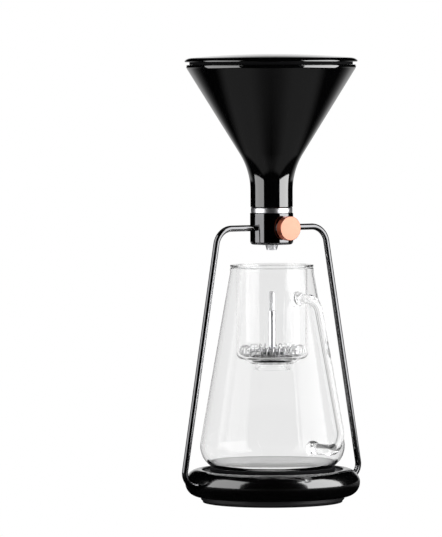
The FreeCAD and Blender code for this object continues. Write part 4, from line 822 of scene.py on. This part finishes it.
coil, given = new_tree("coil", {
    "Turns": 34, "Points": 24, "Ring": 0.0236, "Turn": 0.0044, "Wire": 0.0004, "Height": 0.128376,
    "Material": None,
})
start = given["Turns"]
total = given["Turns"] * given["Points"]
line = start.node("GeometryNodeMeshLine", inputs={"Count": total - given["Points"] + 1})
index = start.node("GeometryNodeInputIndex")
turn = index / given["Points"]
small = turn * (2 * math.pi)
big = (turn - 0.5) * (2 * math.pi) / given["Turns"]
reach = given["Ring"] + given["Turn"] * small.maths("COSINE", small)
spot = start.node("ShaderNodeCombineXYZ", inputs={
    0: reach * big.maths("COSINE", big), 1: reach * big.maths("SINE", big),
    2: given["Height"] + given["Turn"] * small.maths("SINE", small),
})
bent = start.node("GeometryNodeSetPosition", inputs={"Geometry": line, "Position": spot})
wire_line = start.node("GeometryNodeMeshToCurve", inputs={0: bent})
section = start.node("GeometryNodeCurvePrimitiveCircle", inputs={"Resolution": 10, "Radius": given["Wire"]})
wire = start.node("GeometryNodeCurveToMesh", inputs={0: wire_line, 1: section, "Fill Caps": True})
end_tree(wire.node("GeometryNodeSetShadeSmooth", inputs={0: wire}), given["Material"])
spring = settle_faces(grow("wire_coil", coil, {"Material": spring_steel}))
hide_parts("filter_coil")
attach(spring, "filter_unit")


# Rod of the filter, polished, with a knurled steel tip screwed into its top that lifts the filter out.
disc_top, stem_top, thread_low, socket_low = 128.776, 161.876, 117.376, 155.876
thread_across, stem_across, socket_across = 2.0, 2.9, 1.5
stem = turned("polished_stem", [
    (0, thread_low), (thread_across, thread_low, 0.4), (thread_across, disc_top),
    (stem_across, disc_top, 0.2), (stem_across, stem_top, 0.6), (socket_across, stem_top),
    (socket_across, socket_low), (0, socket_low),
], polished_steel, steps=96)
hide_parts("filter_rod")
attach(stem, "filter_unit")

knurl, given = new_tree("knurl", {
    "Around": 16, "Along": 13, "Radius": 0.00245, "Depth": 0.0003, "Low": stem_top * MM,
    "Length": 0.0164, "Chamfer": 0.0006, "Material": None,
})
start = given["Around"]
fine = 6
columns, rows = start * fine + 1, given["Along"] * fine + 1
sheet = start.node("GeometryNodeMeshGrid", inputs={"Vertices X": columns, "Vertices Y": rows})
index = start.node("GeometryNodeInputIndex")
column = (index / rows).maths("FLOOR", (index + 0.5) / rows)
row = index - column * rows
climbed = row / (given["Along"] * fine)
turn = column / fine
left = (turn + row / fine) * math.pi
right = (turn - row / fine) * math.pi
ridge = left.maths("ABSOLUTE", left.maths("SINE", left)) * right.maths("ABSOLUTE", right.maths("SINE", right))
lift = climbed * given["Length"]
from_top = (given["Length"] - lift) / given["Chamfer"]
narrow = (1 - from_top.maths("MINIMUM", from_top, 1.0)) * given["Chamfer"]
from_foot = lift / given["Chamfer"]
narrow_foot = (1 - from_foot.maths("MINIMUM", from_foot, 1.0)) * given["Chamfer"] * 0.5
reach = given["Radius"] - given["Depth"] * (1 - ridge) - narrow - narrow_foot
angle = turn * (2 * math.pi) / given["Around"]
spot = start.node("ShaderNodeCombineXYZ", inputs={
    0: reach * angle.maths("COSINE", angle), 1: reach * angle.maths("SINE", angle), 2: given["Low"] + lift,
})
rolled = start.node("GeometryNodeSetPosition", inputs={"Geometry": sheet, "Position": spot})
merged = start.node("GeometryNodeMergeByDistance", inputs={"Geometry": rolled, "Distance": seam_gap})
end_tree(merged, given["Material"])
tip = grow("knurled_tip", knurl, {"Material": knurled_steel})
shape = bmesh.new()
shape.from_mesh(tip.data)
rings = [edge for edge in shape.edges if edge.is_boundary]
bmesh.ops.holes_fill(shape, edges=rings, sides=0)
shape.to_mesh(tip.data)
shape.free()
settle_faces(tip, 50.0)
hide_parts("filter_grip")
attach(tip, "filter_unit")
